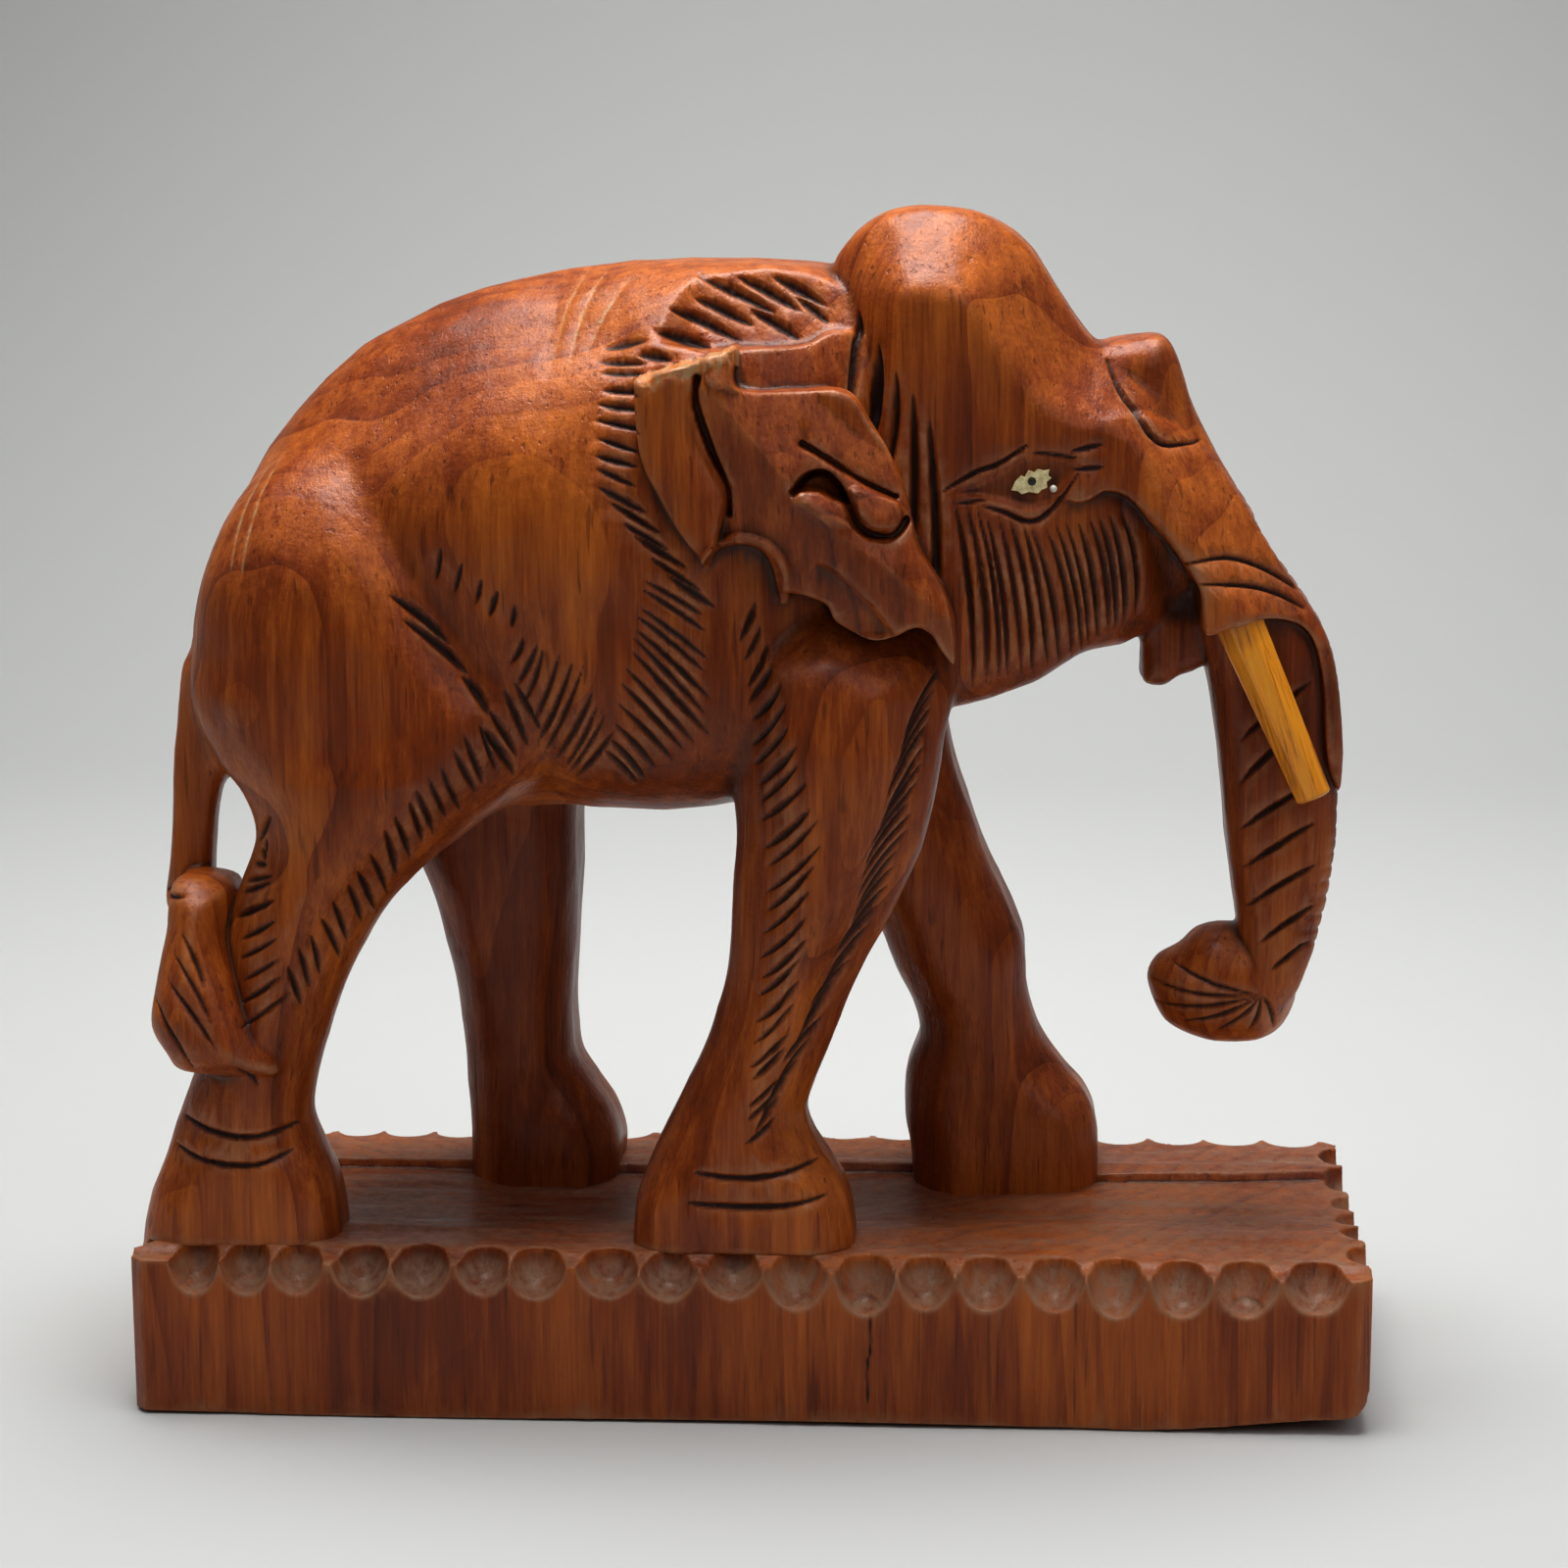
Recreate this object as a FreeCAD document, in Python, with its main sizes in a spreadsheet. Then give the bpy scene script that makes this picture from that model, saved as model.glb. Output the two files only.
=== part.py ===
import FreeCAD, Part
import Sketcher
import math
import os

# A carved wooden elephant walking on its own block, in millimetres.
# +X runs to the head, +Y to the elephant's left, +Z up from the underside of the block.

os.makedirs("parts", exist_ok=True)
doc = FreeCAD.newDocument("CarvedElephant")
sheet = doc.addObject("Spreadsheet::Sheet", "Sizes")

# The sizes that a user would change. Heights of the animal are measured from the top of the block.
sizes = {
    "carvingLength": 155,
    "carvingWidth": 58,
    "plinthHeight": 21.5,
    "elephantHeight": 127.5,
    "plinthCorner": 1.2,
    "gougeDepth": 1.6,
    "gougeFall": 4.2,
    "gougeRadius": 3.6,
    "gougePitch": 8,
    "gougeStart": 9.5,
    "gougeEndPitch": 10,
    "gougeStroke": 24,
    "gougeLean": 40,
    "tuskWide": 6.2,
    "tuskTipWide": 4.6,
    "tuskShows": 24,
    "tuskTenon": 10,
    "tuskAlong": 60.5,
    "tuskAside": 10.8,
    "tuskUp": 77,
    "tuskLean": 24,
    "socketClearance": 0.1,
    "socketRunOut": 3,
    "eyeLong": 6.4,
    "eyeTall": 3.6,
    "eyeThick": 1.8,
    "eyeAlong": 35,
    "eyeUp": 95,
    "eyeSeat": 16.4,
    "eyeTurn": 9,
    "eyeClearance": 0.05,
    "eyePocketReach": 6,
    "pupilWide": 1.5,
    "pupilDeep": 1,
    "earThick": 10,
    "earSeat": 15.2,
    "earTurn": 9,
    "earEdge": 1.8,
}

# The size of animal that the ovals below are drawn for. Changing an overall size stretches them.
drawn = {
    "drawnLength": 155,
    "drawnWidth": 58,
    "drawnHeight": 127.5,
}

# Each oval: distance along, distance aside, height, half size along its first way, half size across.
torsoOvals = [
    (-71.5, -1, 73, 5, 5),
    (-69, -1, 70.5, 12.5, 12),
    (-62, 0, 73, 25, 20),
    (-50, 0, 80, 31, 24.5),
    (-32, 0, 86, 33, 26.5),
    (-12, 0, 87.5, 34, 26.5),
    (8, 0, 87, 33, 25),
    (21, 0, 86, 27, 20),
    (29, 0, 86, 20, 14),
]
headOvals = [
    (8, 0.2, 98, 21, 16),
    (14, 0.2, 98, 26, 17.5),
    (22, 0.2, 98.5, 29, 18),
    (30, 0.2, 98, 28, 17.5),
    (38, 0.2, 95, 23.5, 16.5),
    (45, 0.2, 92.5, 19, 14),
    (50, 0.2, 93.5, 16.5, 11),
    (54.5, 0.2, 90, 10, 7),
]
lipOvals = [
    (45, -0.3, 77, 5, 4.5),
    (50, -0.3, 73.5, 5.2, 5),
    (54, -0.3, 73, 4.6, 4.4),
    (57.5, -0.3, 75, 4, 3.6),
]
trunkRootOvals = [
    (48, 0, 103, 6, 7),
    (51, 0, 98, 8.5, 11),
    (55, 0, 90, 10, 13.5),
    (59.5, 0, 82, 11, 16),
    (62.5, 0, 76.5, 9.6, 15.6),
]
trunkOvals = [
    (56, 0.3, 90, 7, 6.9),
    (63, 0.3, 80, 8, 7.3),
    (66, 0.3, 68, 8.3, 7.3),
    (66.8, 0.3, 55, 7.5, 7),
    (67.3, 0.3, 43, 6.6, 6.5),
    (66.2, 0.3, 34, 6, 5.9),
    (64, 0.3, 27, 5, 4.9),
]
curlOvals = [
    (51, -0.2, 29, 3.6, 3.4),
    (53.5, -0.2, 28.8, 6.2, 5.8),
    (58, -0.2, 28.8, 7.3, 6.8),
    (62.5, -0.2, 29.4, 7.1, 6.7),
    (66.5, -0.2, 31, 5, 4.6),
]
rightHindOvals = [
    (-46, -13, 74, 19, 11),
    (-45.5, -14, 64, 19, 12.5),
    (-47, -15, 56, 16.5, 12.5),
    (-52, -16, 48, 12.3, 11.5),
    (-56.5, -16.5, 39, 9.3, 10.5),
    (-60, -17, 28, 8.3, 9.8),
    (-63, -17, 20, 8.8, 9.8),
    (-64, -17, 13, 9.4, 10.5),
    (-64.3, -16.8, 7, 11, 11.4),
    (-64.8, -16.8, 1, 11.9, 11.9),
    (-64.8, -16.8, -4, 11.9, 11.9),
]
leftHindOvals = [
    (-42, 13, 74, 18, 11),
    (-39, 14, 60, 16, 12.5),
    (-37, 15, 50, 13.3, 12),
    (-35, 16, 39, 10.4, 10.8),
    (-33.7, 16.5, 27, 8.3, 10),
    (-33, 17, 16, 7.8, 9.8),
    (-31, 16.8, 8, 9.4, 11),
    (-30, 16.8, 2, 10.4, 11.9),
    (-30, 16.8, -4, 10.4, 11.9),
]
rightForeOvals = [
    (9, -13, 80, 14, 11),
    (10.6, -14, 66, 13.4, 12.5),
    (10, -15, 53, 12, 12.5),
    (7.4, -16, 40, 9.6, 11.4),
    (3, -16.5, 27, 7.8, 10.2),
    (0, -17, 18, 7.9, 9.8),
    (-1, -16.8, 11, 10, 11.2),
    (-0.6, -16.8, 4, 12.8, 12),
    (-0.6, -16.8, -4, 13, 12),
]
leftForeOvals = [
    (11, 13, 80, 14, 11),
    (12.4, 14, 64, 13, 12.5),
    (16.5, 15, 48, 12, 12.3),
    (22.5, 16, 36, 9.8, 11.2),
    (26, 16.5, 27, 8.7, 10.2),
    (28.6, 17, 18, 8, 9.8),
    (30.4, 16.8, 11, 10.4, 11.2),
    (31.6, 16.8, 4, 12.6, 12),
    (31.8, 16.8, -4, 12.4, 12),
]
tailOvals = [
    (-67.5, -4, 77, 4, 4.5),
    (-70.6, -4, 67, 3.2, 3.6),
    (-71.4, -4, 56, 2.7, 3.2),
    (-71.6, -4.5, 45, 2.9, 3.2),
    (-71.4, -6, 36, 4.6, 4.4),
    (-70.6, -8, 27, 6.6, 6.2),
    (-70, -9.5, 20, 7, 6.6),
    (-69.5, -10, 15, 4, 4.5),
]

# The ear's outline, seen from the side: distance along, height.
earCorners = [
    (-11.5, 108),
    (-2, 111),
    (13.5, 105),
    (22.5, 87.5),
    (25.5, 76),
    (14, 77),
    (3, 82),
    (-4, 87.5),
]

laid = []


def setSize(name, value):
    row = str(len(laid) + 1)
    laid.append(name)
    sheet.set("A" + row, name)
    sheet.set("B" + row, str(value))
    sheet.setAlias("B" + row, name)


def layOutOvals(group, ovals):
    words = ("Along", "Aside", "Up", "First", "Across")
    letters = "abcdefghijkl"
    for letter, oval in zip(letters, ovals):
        for word, value in zip(words, oval):
            setSize(group + word + letter, value)


groups = {
    "torso": torsoOvals,
    "head": headOvals,
    "trunkRoot": trunkRootOvals,
    "trunk": trunkOvals,
    "lip": lipOvals,
    "curl": curlOvals,
    "rightHind": rightHindOvals,
    "leftHind": leftHindOvals,
    "rightFore": rightForeOvals,
    "leftFore": leftForeOvals,
    "tail": tailOvals,
}
for name, value in list(sizes.items()) + list(drawn.items()):
    setSize(name, value)
for group, ovals in groups.items():
    layOutOvals(group, ovals)
doc.recompute()


overallOf = {"Length": "carvingLength", "Width": "carvingWidth", "Height": "elephantHeight"}


def stretched(name, way):
    return f"Sizes.{name} * Sizes.{overallOf[way]} / Sizes.drawn{way}"


def stretchOf(way):
    return sizes[overallOf[way]] / drawn["drawn" + way]


def bind(piece, formulas):
    for field, formula in formulas.items():
        piece.setExpression(field, formula)


def ovalAt(group, letter, upright, longWay):
    oval = doc.addObject("Part::Ellipse", group + "Oval" + letter)
    first = stretched(group + "First" + letter, "Height" if upright else "Length")
    across = stretched(group + "Across" + letter, "Width")
    # a torso or head ring faces along the animal, and a limb's ring faces up
    if upright and longWay:
        turn = FreeCAD.Rotation(FreeCAD.Vector(1, 0, 1), 180)
    elif upright:
        turn = FreeCAD.Rotation(FreeCAD.Vector(1, 1, 1), 120)
    elif longWay:
        turn = FreeCAD.Rotation()
    else:
        turn = FreeCAD.Rotation(FreeCAD.Vector(0, 0, 1), 90)
    oval.Placement = FreeCAD.Placement(FreeCAD.Vector(), turn)
    bind(oval, {
        "MajorRadius": first if longWay else across,
        "MinorRadius": across if longWay else first,
        "Placement.Base.x": stretched(group + "Along" + letter, "Length"),
        "Placement.Base.y": stretched(group + "Aside" + letter, "Width"),
        "Placement.Base.z": "Sizes.plinthHeight + " + stretched(group + "Up" + letter, "Height"),
    })
    return oval


def loftThrough(group, upright):
    ovals = []
    firstStretch = stretchOf("Height" if upright else "Length")
    for letter, (along, aside, up, first, across) in zip("abcdefghijkl", groups[group]):
        longWay = first * firstStretch >= across * stretchOf("Width")
        ovals.append(ovalAt(group, letter, upright, longWay))
    form = doc.addObject("Part::Loft", group + "Form")
    form.Sections = ovals
    form.Solid = True
    return form


def originPlane(body, role):
    for feature in body.Origin.OriginFeatures:
        if feature.Role == role:
            return feature


def addOutline(body, name, role, corners, offsets):
    """Draws a closed outline whose corners follow the formulas given."""
    sketch = body.newObject("Sketcher::SketchObject", name)
    sketch.AttachmentSupport = [(originPlane(body, role), "")]
    sketch.MapMode = "FlatFace"
    doc.recompute()
    count = len(corners)
    for k in range(count):
        start = FreeCAD.Vector(*corners[k], 0)
        end = FreeCAD.Vector(*corners[(k + 1) % count], 0)
        sketch.addGeometry(Part.LineSegment(start, end), False)
    for k in range(count):
        sketch.addConstraint(Sketcher.Constraint("Coincident", k, 2, (k + 1) % count, 1))
    for k in range(count):
        for way, kind in ((0, "DistanceX"), (1, "DistanceY")):
            value = corners[k][way]
            index = sketch.addConstraint(Sketcher.Constraint(kind, -1, 1, k, 1, value))
            label = f"corner{k}{'along' if way == 0 else 'up'}"
            sketch.renameConstraint(index, label)
            sketch.setExpression("Constraints." + label, offsets[k][way])
    doc.recompute()
    return sketch


def pad(body, sketch, name, length):
    block = body.newObject("PartDesign::Pad", name)
    block.Profile = sketch
    block.setExpression("Length", length)
    doc.recompute()
    return block


def edgesAlong(shape, direction):
    found = []
    for number, edge in enumerate(shape.Edges, 1):
        ends = edge.Vertexes
        if len(ends) == 2 and edge.Curve.TypeId == "Part::GeomLine":
            way = (ends[1].Point - ends[0].Point).normalize()
            if abs(way.dot(direction)) > 0.999:
                found.append("Edge" + str(number))
    return found


def makeBlock():
    body = doc.addObject("PartDesign::Body", "plinthBlock")
    length = "Sizes.carvingLength / 2"
    width = "Sizes.carvingWidth / 2"
    half = (sizes["carvingLength"] / 2, sizes["carvingWidth"] / 2)
    signs = [(-1, -1), (1, -1), (1, 1), (-1, 1)]
    corners = [(a * half[0], b * half[1]) for a, b in signs]
    offsets = [(("-" if a < 0 else "") + length, ("-" if b < 0 else "") + width) for a, b in signs]
    sketch = addOutline(body, "plinthOutline", "XY_Plane", corners, offsets)
    block = pad(body, sketch, "plinthPad", "Sizes.plinthHeight")
    corner = body.newObject("PartDesign::Chamfer", "plinthCorners")
    corner.Base = (block, edgesAlong(block.Shape, FreeCAD.Vector(0, 0, 1)))
    corner.setExpression("Size", "Sizes.plinthCorner")
    body.Tip = corner
    doc.recompute()
    return body


def gougeAt(name, across, turn, edge):
    """One stroke of a round gouge, falling outward over the top edge of the block."""
    stroke = doc.addObject("Part::Cylinder", name)
    stroke.setExpression("Radius", "Sizes.gougeRadius")
    stroke.setExpression("Height", "Sizes.gougeStroke")
    # the stroke's own axis leans from the top face down and outward
    lean = FreeCAD.Rotation(FreeCAD.Vector(1, 0, 0), sizes["gougeLean"])
    swing = FreeCAD.Rotation(FreeCAD.Vector(0, 0, 1), turn)
    stroke.Placement = FreeCAD.Placement(FreeCAD.Vector(), swing.multiply(lean))
    bind(stroke, {
        "Placement.Base.x": across[0],
        "Placement.Base.y": across[1],
        "Placement.Base.z": edge,
    })
    return stroke


def makeGouges():
    strokes = []
    low = "Sizes.plinthHeight - Sizes.gougeFall"
    # turn 0 leans the stroke's top toward -Y, so a stroke over the +Y edge takes a turn of 0
    span = sizes["carvingLength"] - 2 * sizes["gougeStart"] + 4
    count = int(span / sizes["gougePitch"]) + 1
    for side, turn, sign in (("Right", 180, "-"), ("Left", 0, "")):
        for k in range(count):
            x = f"-Sizes.carvingLength / 2 + Sizes.gougeStart - 2 + {k} * Sizes.gougePitch"
            y = f"{sign}(Sizes.carvingWidth / 2 + Sizes.gougeRadius - Sizes.gougeDepth)"
            strokes.append(gougeAt(f"gouge{side}{k}", (x, y), turn, low))
    for end, turn, sign in (("Front", -90, ""), ("Back", 90, "-")):
        for k in range(5):
            x = f"{sign}(Sizes.carvingLength / 2 + Sizes.gougeRadius - Sizes.gougeDepth)"
            y = f"{k - 2} * Sizes.gougeEndPitch"
            strokes.append(gougeAt(f"gouge{end}{k}", (x, y), turn, low))
    row = doc.addObject("Part::MultiFuse", "gougeRow")
    row.Shapes = strokes
    return row


def cutFrom(name, base, tool):
    cut = doc.addObject("Part::Cut", name)
    cut.Base = base
    cut.Tool = tool
    return cut


def fuseAll(name, shapes):
    whole = doc.addObject("Part::MultiFuse", name)
    whole.Shapes = shapes
    return whole


def joinInTurn(name, shapes):
    """Joins curved forms one after another, which is steadier than joining all of them at once."""
    whole = shapes[0]
    for number, shape in enumerate(shapes[1:], 1):
        joined = doc.addObject("Part::Fuse", f"{name}Join{number}")
        joined.Base = whole
        joined.Tool = shape
        doc.recompute()
        grown = joined.Shape.Volume - whole.Shape.Volume
        if not joined.Shape.isValid() or grown < 1 or grown > shape.Shape.Volume:
            raise RuntimeError(f"{joined.Name}: {shape.Name} did not join cleanly")
        whole = joined
    return whole


def makeEar(side, sign):
    body = doc.addObject("PartDesign::Body", "ear" + side)
    offsets = []
    for k in range(len(earCorners)):
        along = stretched(f"earAlong{k}", "Length")
        up = "Sizes.plinthHeight + " + stretched(f"earUp{k}", "Height")
        offsets.append((along, up))
    corners = [(x, z + sizes["plinthHeight"]) for x, z in earCorners]
    sketch = addOutline(body, "earOutline" + side, "XZ_Plane", corners, offsets)
    plate = pad(body, sketch, "earPad" + side, "Sizes.earThick")
    # the sketch's own normal is -Y, so the right ear grows outward and the left ear is turned back
    plate.Reversed = sign > 0
    doc.recompute()
    soft = body.newObject("PartDesign::Fillet", "earSoft" + side)
    outer = []
    far = sizes["earThick"]
    for number, edge in enumerate(plate.Shape.Edges, 1):
        box = edge.BoundBox
        if abs(abs(box.YMin) - far) < 0.01 and abs(abs(box.YMax) - far) < 0.01:
            outer.append("Edge" + str(number))
    soft.Base = (plate, outer)
    soft.setExpression("Radius", "Sizes.earEdge")
    body.Tip = soft
    turn = FreeCAD.Rotation(FreeCAD.Vector(0, 0, 1), -sign * sizes["earTurn"])
    body.Placement = FreeCAD.Placement(FreeCAD.Vector(), turn)
    bind(body, {"Placement.Base.y": ("" if sign > 0 else "-") + stretched("earSeat", "Width")})
    doc.recompute()
    return body


def placeTusk(piece, sign, outward):
    """Stands a piece on a tusk's line, outward (1) or into the head (-1) from its seat."""
    run = "0" if outward > 0 else "Sizes.socketRunOut"
    angle = "180 deg - Sizes.tuskLean * 1 deg" if outward > 0 else "-Sizes.tuskLean * 1 deg"
    piece.Placement = FreeCAD.Placement(FreeCAD.Vector(), FreeCAD.Rotation(FreeCAD.Vector(0, 1, 0), 10))
    up = "Sizes.plinthHeight + " + stretched("tuskUp", "Height")
    bind(piece, {
        "Placement.Rotation.Angle": angle,
        "Placement.Base.x": stretched("tuskAlong", "Length") + f" + {run} * sin(Sizes.tuskLean * 1 deg)",
        "Placement.Base.y": ("" if sign > 0 else "-") + stretched("tuskAside", "Width"),
        "Placement.Base.z": up + f" - {run} * cos(Sizes.tuskLean * 1 deg)",
    })


def makeTusk(side, sign):
    """An eight-sided whittled peg, wide at the root and narrower at its tip."""
    rings = []
    for end, wide, place in (
        ("Root", "Sizes.tuskWide / 2", "-Sizes.tuskTenon"),
        ("Seat", "Sizes.tuskWide / 2", "0"),
        ("Tip", "Sizes.tuskTipWide / 2", "Sizes.tuskShows"),
    ):
        ring = doc.addObject("Part::RegularPolygon", "tusk" + side + end)
        ring.Polygon = 8
        ring.setExpression("Circumradius", wide)
        ring.setExpression("Placement.Base.z", place)
        rings.append(ring)
    peg = doc.addObject("Part::Loft", "tuskPeg" + side)
    peg.Sections = rings
    peg.Solid = True
    peg.Ruled = True
    placeTusk(peg, sign, 1)
    return peg


def makeSocket(side, sign):
    """The drilled hole for a tusk, wider and deeper than the peg by the clearance."""
    drill = doc.addObject("Part::Cylinder", "tuskSocket" + side)
    drill.setExpression("Radius", "Sizes.tuskWide / 2 + Sizes.socketClearance")
    drill.setExpression("Height", "Sizes.tuskTenon + Sizes.socketClearance + Sizes.socketRunOut")
    placeTusk(drill, sign, -1)
    return drill


def placeEyePiece(piece, sign, inward):
    """Lays a piece on the side of the head, its own Z pointing outward, sunk by the inward formula."""
    turn = FreeCAD.Rotation(FreeCAD.Vector(1, 0, 0), -sign * 90)
    swing = FreeCAD.Rotation(FreeCAD.Vector(0, 0, 1), -sign * sizes["eyeTurn"])
    piece.Placement = FreeCAD.Placement(FreeCAD.Vector(), swing.multiply(turn))
    lead = "" if sign > 0 else "-"
    aside = f"{stretched('eyeSeat', 'Width')} - ({inward}) * cos(Sizes.eyeTurn * 1 deg)"
    bind(piece, {
        "Placement.Base.x": stretched("eyeAlong", "Length") + f" - ({inward}) * sin(Sizes.eyeTurn * 1 deg)",
        "Placement.Base.y": f"{lead}({aside})",
        "Placement.Base.z": "Sizes.plinthHeight + " + stretched("eyeUp", "Height"),
    })


def makeOvalSlip(name, sign, grow, thick, inward):
    ring = doc.addObject("Part::Ellipse", name + "Ring")
    ring.setExpression("MajorRadius", "Sizes.eyeLong / 2 + " + grow)
    ring.setExpression("MinorRadius", "Sizes.eyeTall / 2 + " + grow)
    placeEyePiece(ring, sign, inward)
    slip = doc.addObject("Part::Extrusion", name)
    slip.Base = ring
    slip.DirMode = "Custom"
    slip.Dir = ring.Placement.Rotation.multVec(FreeCAD.Vector(0, 0, 1))
    slip.Solid = True
    slip.setExpression("LengthFwd", thick)
    return slip


def makePupil(name, sign, grow, deep, inward):
    plug = doc.addObject("Part::Cylinder", name)
    plug.setExpression("Radius", "Sizes.pupilWide / 2 + " + grow)
    plug.setExpression("Height", deep)
    placeEyePiece(plug, sign, inward)
    return plug


def makeCarving():
    torso = loftThrough("torso", True)
    ears = [makeEar("Right", -1), makeEar("Left", 1)]
    head = loftThrough("head", True)
    lip = loftThrough("lip", True)
    curl = loftThrough("curl", True)
    limbs = ("trunkRoot", "trunk", "rightHind", "leftHind", "rightFore", "leftFore", "tail")
    forms = {group: loftThrough(group, False) for group in limbs}
    front = joinInTurn("front", [torso] + ears + [head, forms["trunkRoot"], lip, forms["trunk"], curl])
    legs = [forms[group] for group in limbs[2:]]
    block = cutFrom("plinthGouged", makeBlock(), makeGouges())
    whole = joinInTurn("whole", [front] + legs + [block])
    doc.recompute()
    hollows = []
    for side, sign in (("Right", -1), ("Left", 1)):
        hollows.append(makeSocket(side, sign))
        deep = "Sizes.eyeThick + Sizes.eyeClearance"
        pocket = makeOvalSlip("eyePocket" + side, sign, "Sizes.eyeClearance", "Sizes.eyePocketReach", deep)
        hollows.append(pocket)
    return cutFrom("carving", whole, fuseAll("hollows", hollows))


def makeEye(side, sign):
    slip = makeOvalSlip("eyeSlip" + side, sign, "0", "Sizes.eyeThick", "Sizes.eyeThick")
    deep = "Sizes.pupilDeep + Sizes.eyeClearance"
    bore = makePupil("pupilBore" + side, sign, "Sizes.eyeClearance", "Sizes.pupilDeep + 3", deep)
    plug = makePupil("pupilPlug" + side, sign, "0", "Sizes.pupilDeep", "Sizes.pupilDeep")
    return cutFrom("eye" + side, slip, bore), plug


for k, (along, up) in enumerate(earCorners):
    setSize(f"earAlong{k}", along)
    setSize(f"earUp{k}", up)
doc.recompute()

nodes = {"carved_elephant": makeCarving()}
for side, sign in (("Right", -1), ("Left", 1)):
    word = side.lower()
    nodes["tusk_" + word] = makeTusk(side, sign)
    nodes["eye_inlay_" + word], nodes["pupil_" + word] = makeEye(side, sign)
doc.recompute()

for thing in doc.Objects:
    if "Invalid" in thing.State or "Error" in thing.State:
        raise RuntimeError("not built: " + thing.Name)

for label, piece in nodes.items():
    shape = piece.Shape
    if shape.isNull() or not shape.isValid() or len(shape.Solids) != 1:
        raise RuntimeError(f"{label}: null, broken or {len(shape.Solids)} solids")
    piece.Label = label
    shape.exportStep(f"parts/{label}.step")
    box = shape.BoundBox
    print(f"{label}: {box.XLength:.2f} x {box.YLength:.2f} x {box.ZLength:.2f} mm, {shape.Volume:.1f} mm3")
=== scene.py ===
import math
import bpy
import numpy as np
import openvdb
from mathutils import Matrix, Vector


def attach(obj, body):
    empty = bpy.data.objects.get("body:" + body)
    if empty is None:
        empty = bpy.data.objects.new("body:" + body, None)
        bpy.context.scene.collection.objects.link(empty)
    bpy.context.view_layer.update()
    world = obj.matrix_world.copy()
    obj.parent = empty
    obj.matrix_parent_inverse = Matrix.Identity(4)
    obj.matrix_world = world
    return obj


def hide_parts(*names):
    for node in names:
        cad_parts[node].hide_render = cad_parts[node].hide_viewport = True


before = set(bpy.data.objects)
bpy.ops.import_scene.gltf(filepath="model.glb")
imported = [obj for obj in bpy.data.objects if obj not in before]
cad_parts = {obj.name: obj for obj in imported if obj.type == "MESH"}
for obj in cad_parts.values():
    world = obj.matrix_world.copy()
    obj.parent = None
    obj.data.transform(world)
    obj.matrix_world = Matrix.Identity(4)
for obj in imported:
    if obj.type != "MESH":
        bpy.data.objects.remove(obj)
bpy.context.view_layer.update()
print("frame loaded")

mm = 0.001
sculpt = {
    "step": 0.3,   # mm between samples of the sculpted form
    "low": (-78.6, -30.4, 15.5),
    "high": (78.6, 30.4, 151.0),
    "farAway": 8.0,        # stands for "well outside the wood"
    "faces": 190000,
    "footReach": 22.2,     # beyond this, from the middle, the feet stop at footLevel over the scallops
    "footLevel": 20.6,
}
step = sculpt["step"]


def layGrid(low, high):
    # the planes, step by step, on which a block is sampled while it is cut
    global gridX, gridY, gridZ, lowCorner
    lowCorner = np.array(low, np.float32)
    counts = [int((b - a) / step) + 1 for a, b in zip(low, high)]
    gridX, gridY, gridZ = [(a + step * np.arange(n)).astype(np.float32) for a, n in zip(low, counts)]
    return counts


def curveThrough(points, closed=True, fine=7):
    p = np.array(points, float)
    n = len(p)
    spans = n if closed else n - 1
    out = []
    for i in range(spans):
        if closed:
            a, b, c, d = p[(i - 1) % n], p[i], p[(i + 1) % n], p[(i + 2) % n]
        else:
            a, b, c, d = p[max(i - 1, 0)], p[i], p[i + 1], p[min(i + 2, n - 1)]
        for k in range(fine):
            t = k / fine
            out.append(0.5 * (2 * b + (c - a) * t + (2 * a - 5 * b + 4 * c - d) * t * t
                              + (3 * b - a - 3 * c + d) * t ** 3))
    if not closed:
        out.append(p[-1])
    return np.array(out)


def insideDistance(x, z, points):
    # signed distance to a closed outline, below zero inside it
    p = curveThrough(points)
    q = np.roll(p, -1, 0)
    best = np.full(np.broadcast(x, z).shape, 1e9, np.float32)
    inside = np.zeros(best.shape, bool)
    for (ax, az), (bx, bz) in zip(p, q):
        dx, dz = bx - ax, bz - az
        length = dx * dx + dz * dz
        if length < 1e-9:
            continue
        t = np.clip(((x - ax) * dx + (z - az) * dz) / length, 0, 1)
        best = np.minimum(best, (x - ax - t * dx) ** 2 + (z - az - t * dz) ** 2)
        if az != bz:
            crosses = ((az > z) != (bz > z)) & (x < (bx - ax) * (z - az) / (bz - az) + ax)
            inside ^= crosses
    best = np.sqrt(best)
    return np.where(inside, -best, best).astype(np.float32)


def smoothStep(value, low, high):
    t = np.clip((value - low) / (high - low), 0, 1)
    return t * t * (3 - 2 * t)


def windowOf(lo, hi, margin=4.0):
    spans = []
    for axis, g in enumerate((gridX, gridY, gridZ)):
        a = max(int(np.searchsorted(g, lo[axis] - margin)) - 1, 0)
        b = min(int(np.searchsorted(g, hi[axis] + margin)) + 1, len(g))
        spans.append(slice(a, b))
    return tuple(spans)


def softMax(a, b, soft):
    # the larger of two fields, with the arris between them eased
    gap = np.maximum(soft - np.abs(a - b), 0) / soft
    return np.maximum(a, b) + gap * gap * soft / 4


def listed(value, along):
    # a single number, or a list of (place, number) read along the given way
    if not isinstance(value, list):
        return np.full(along.shape, value, np.float32)
    return np.interp(along, [p for p, v in value], [v for p, v in value]).astype(np.float32)


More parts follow.
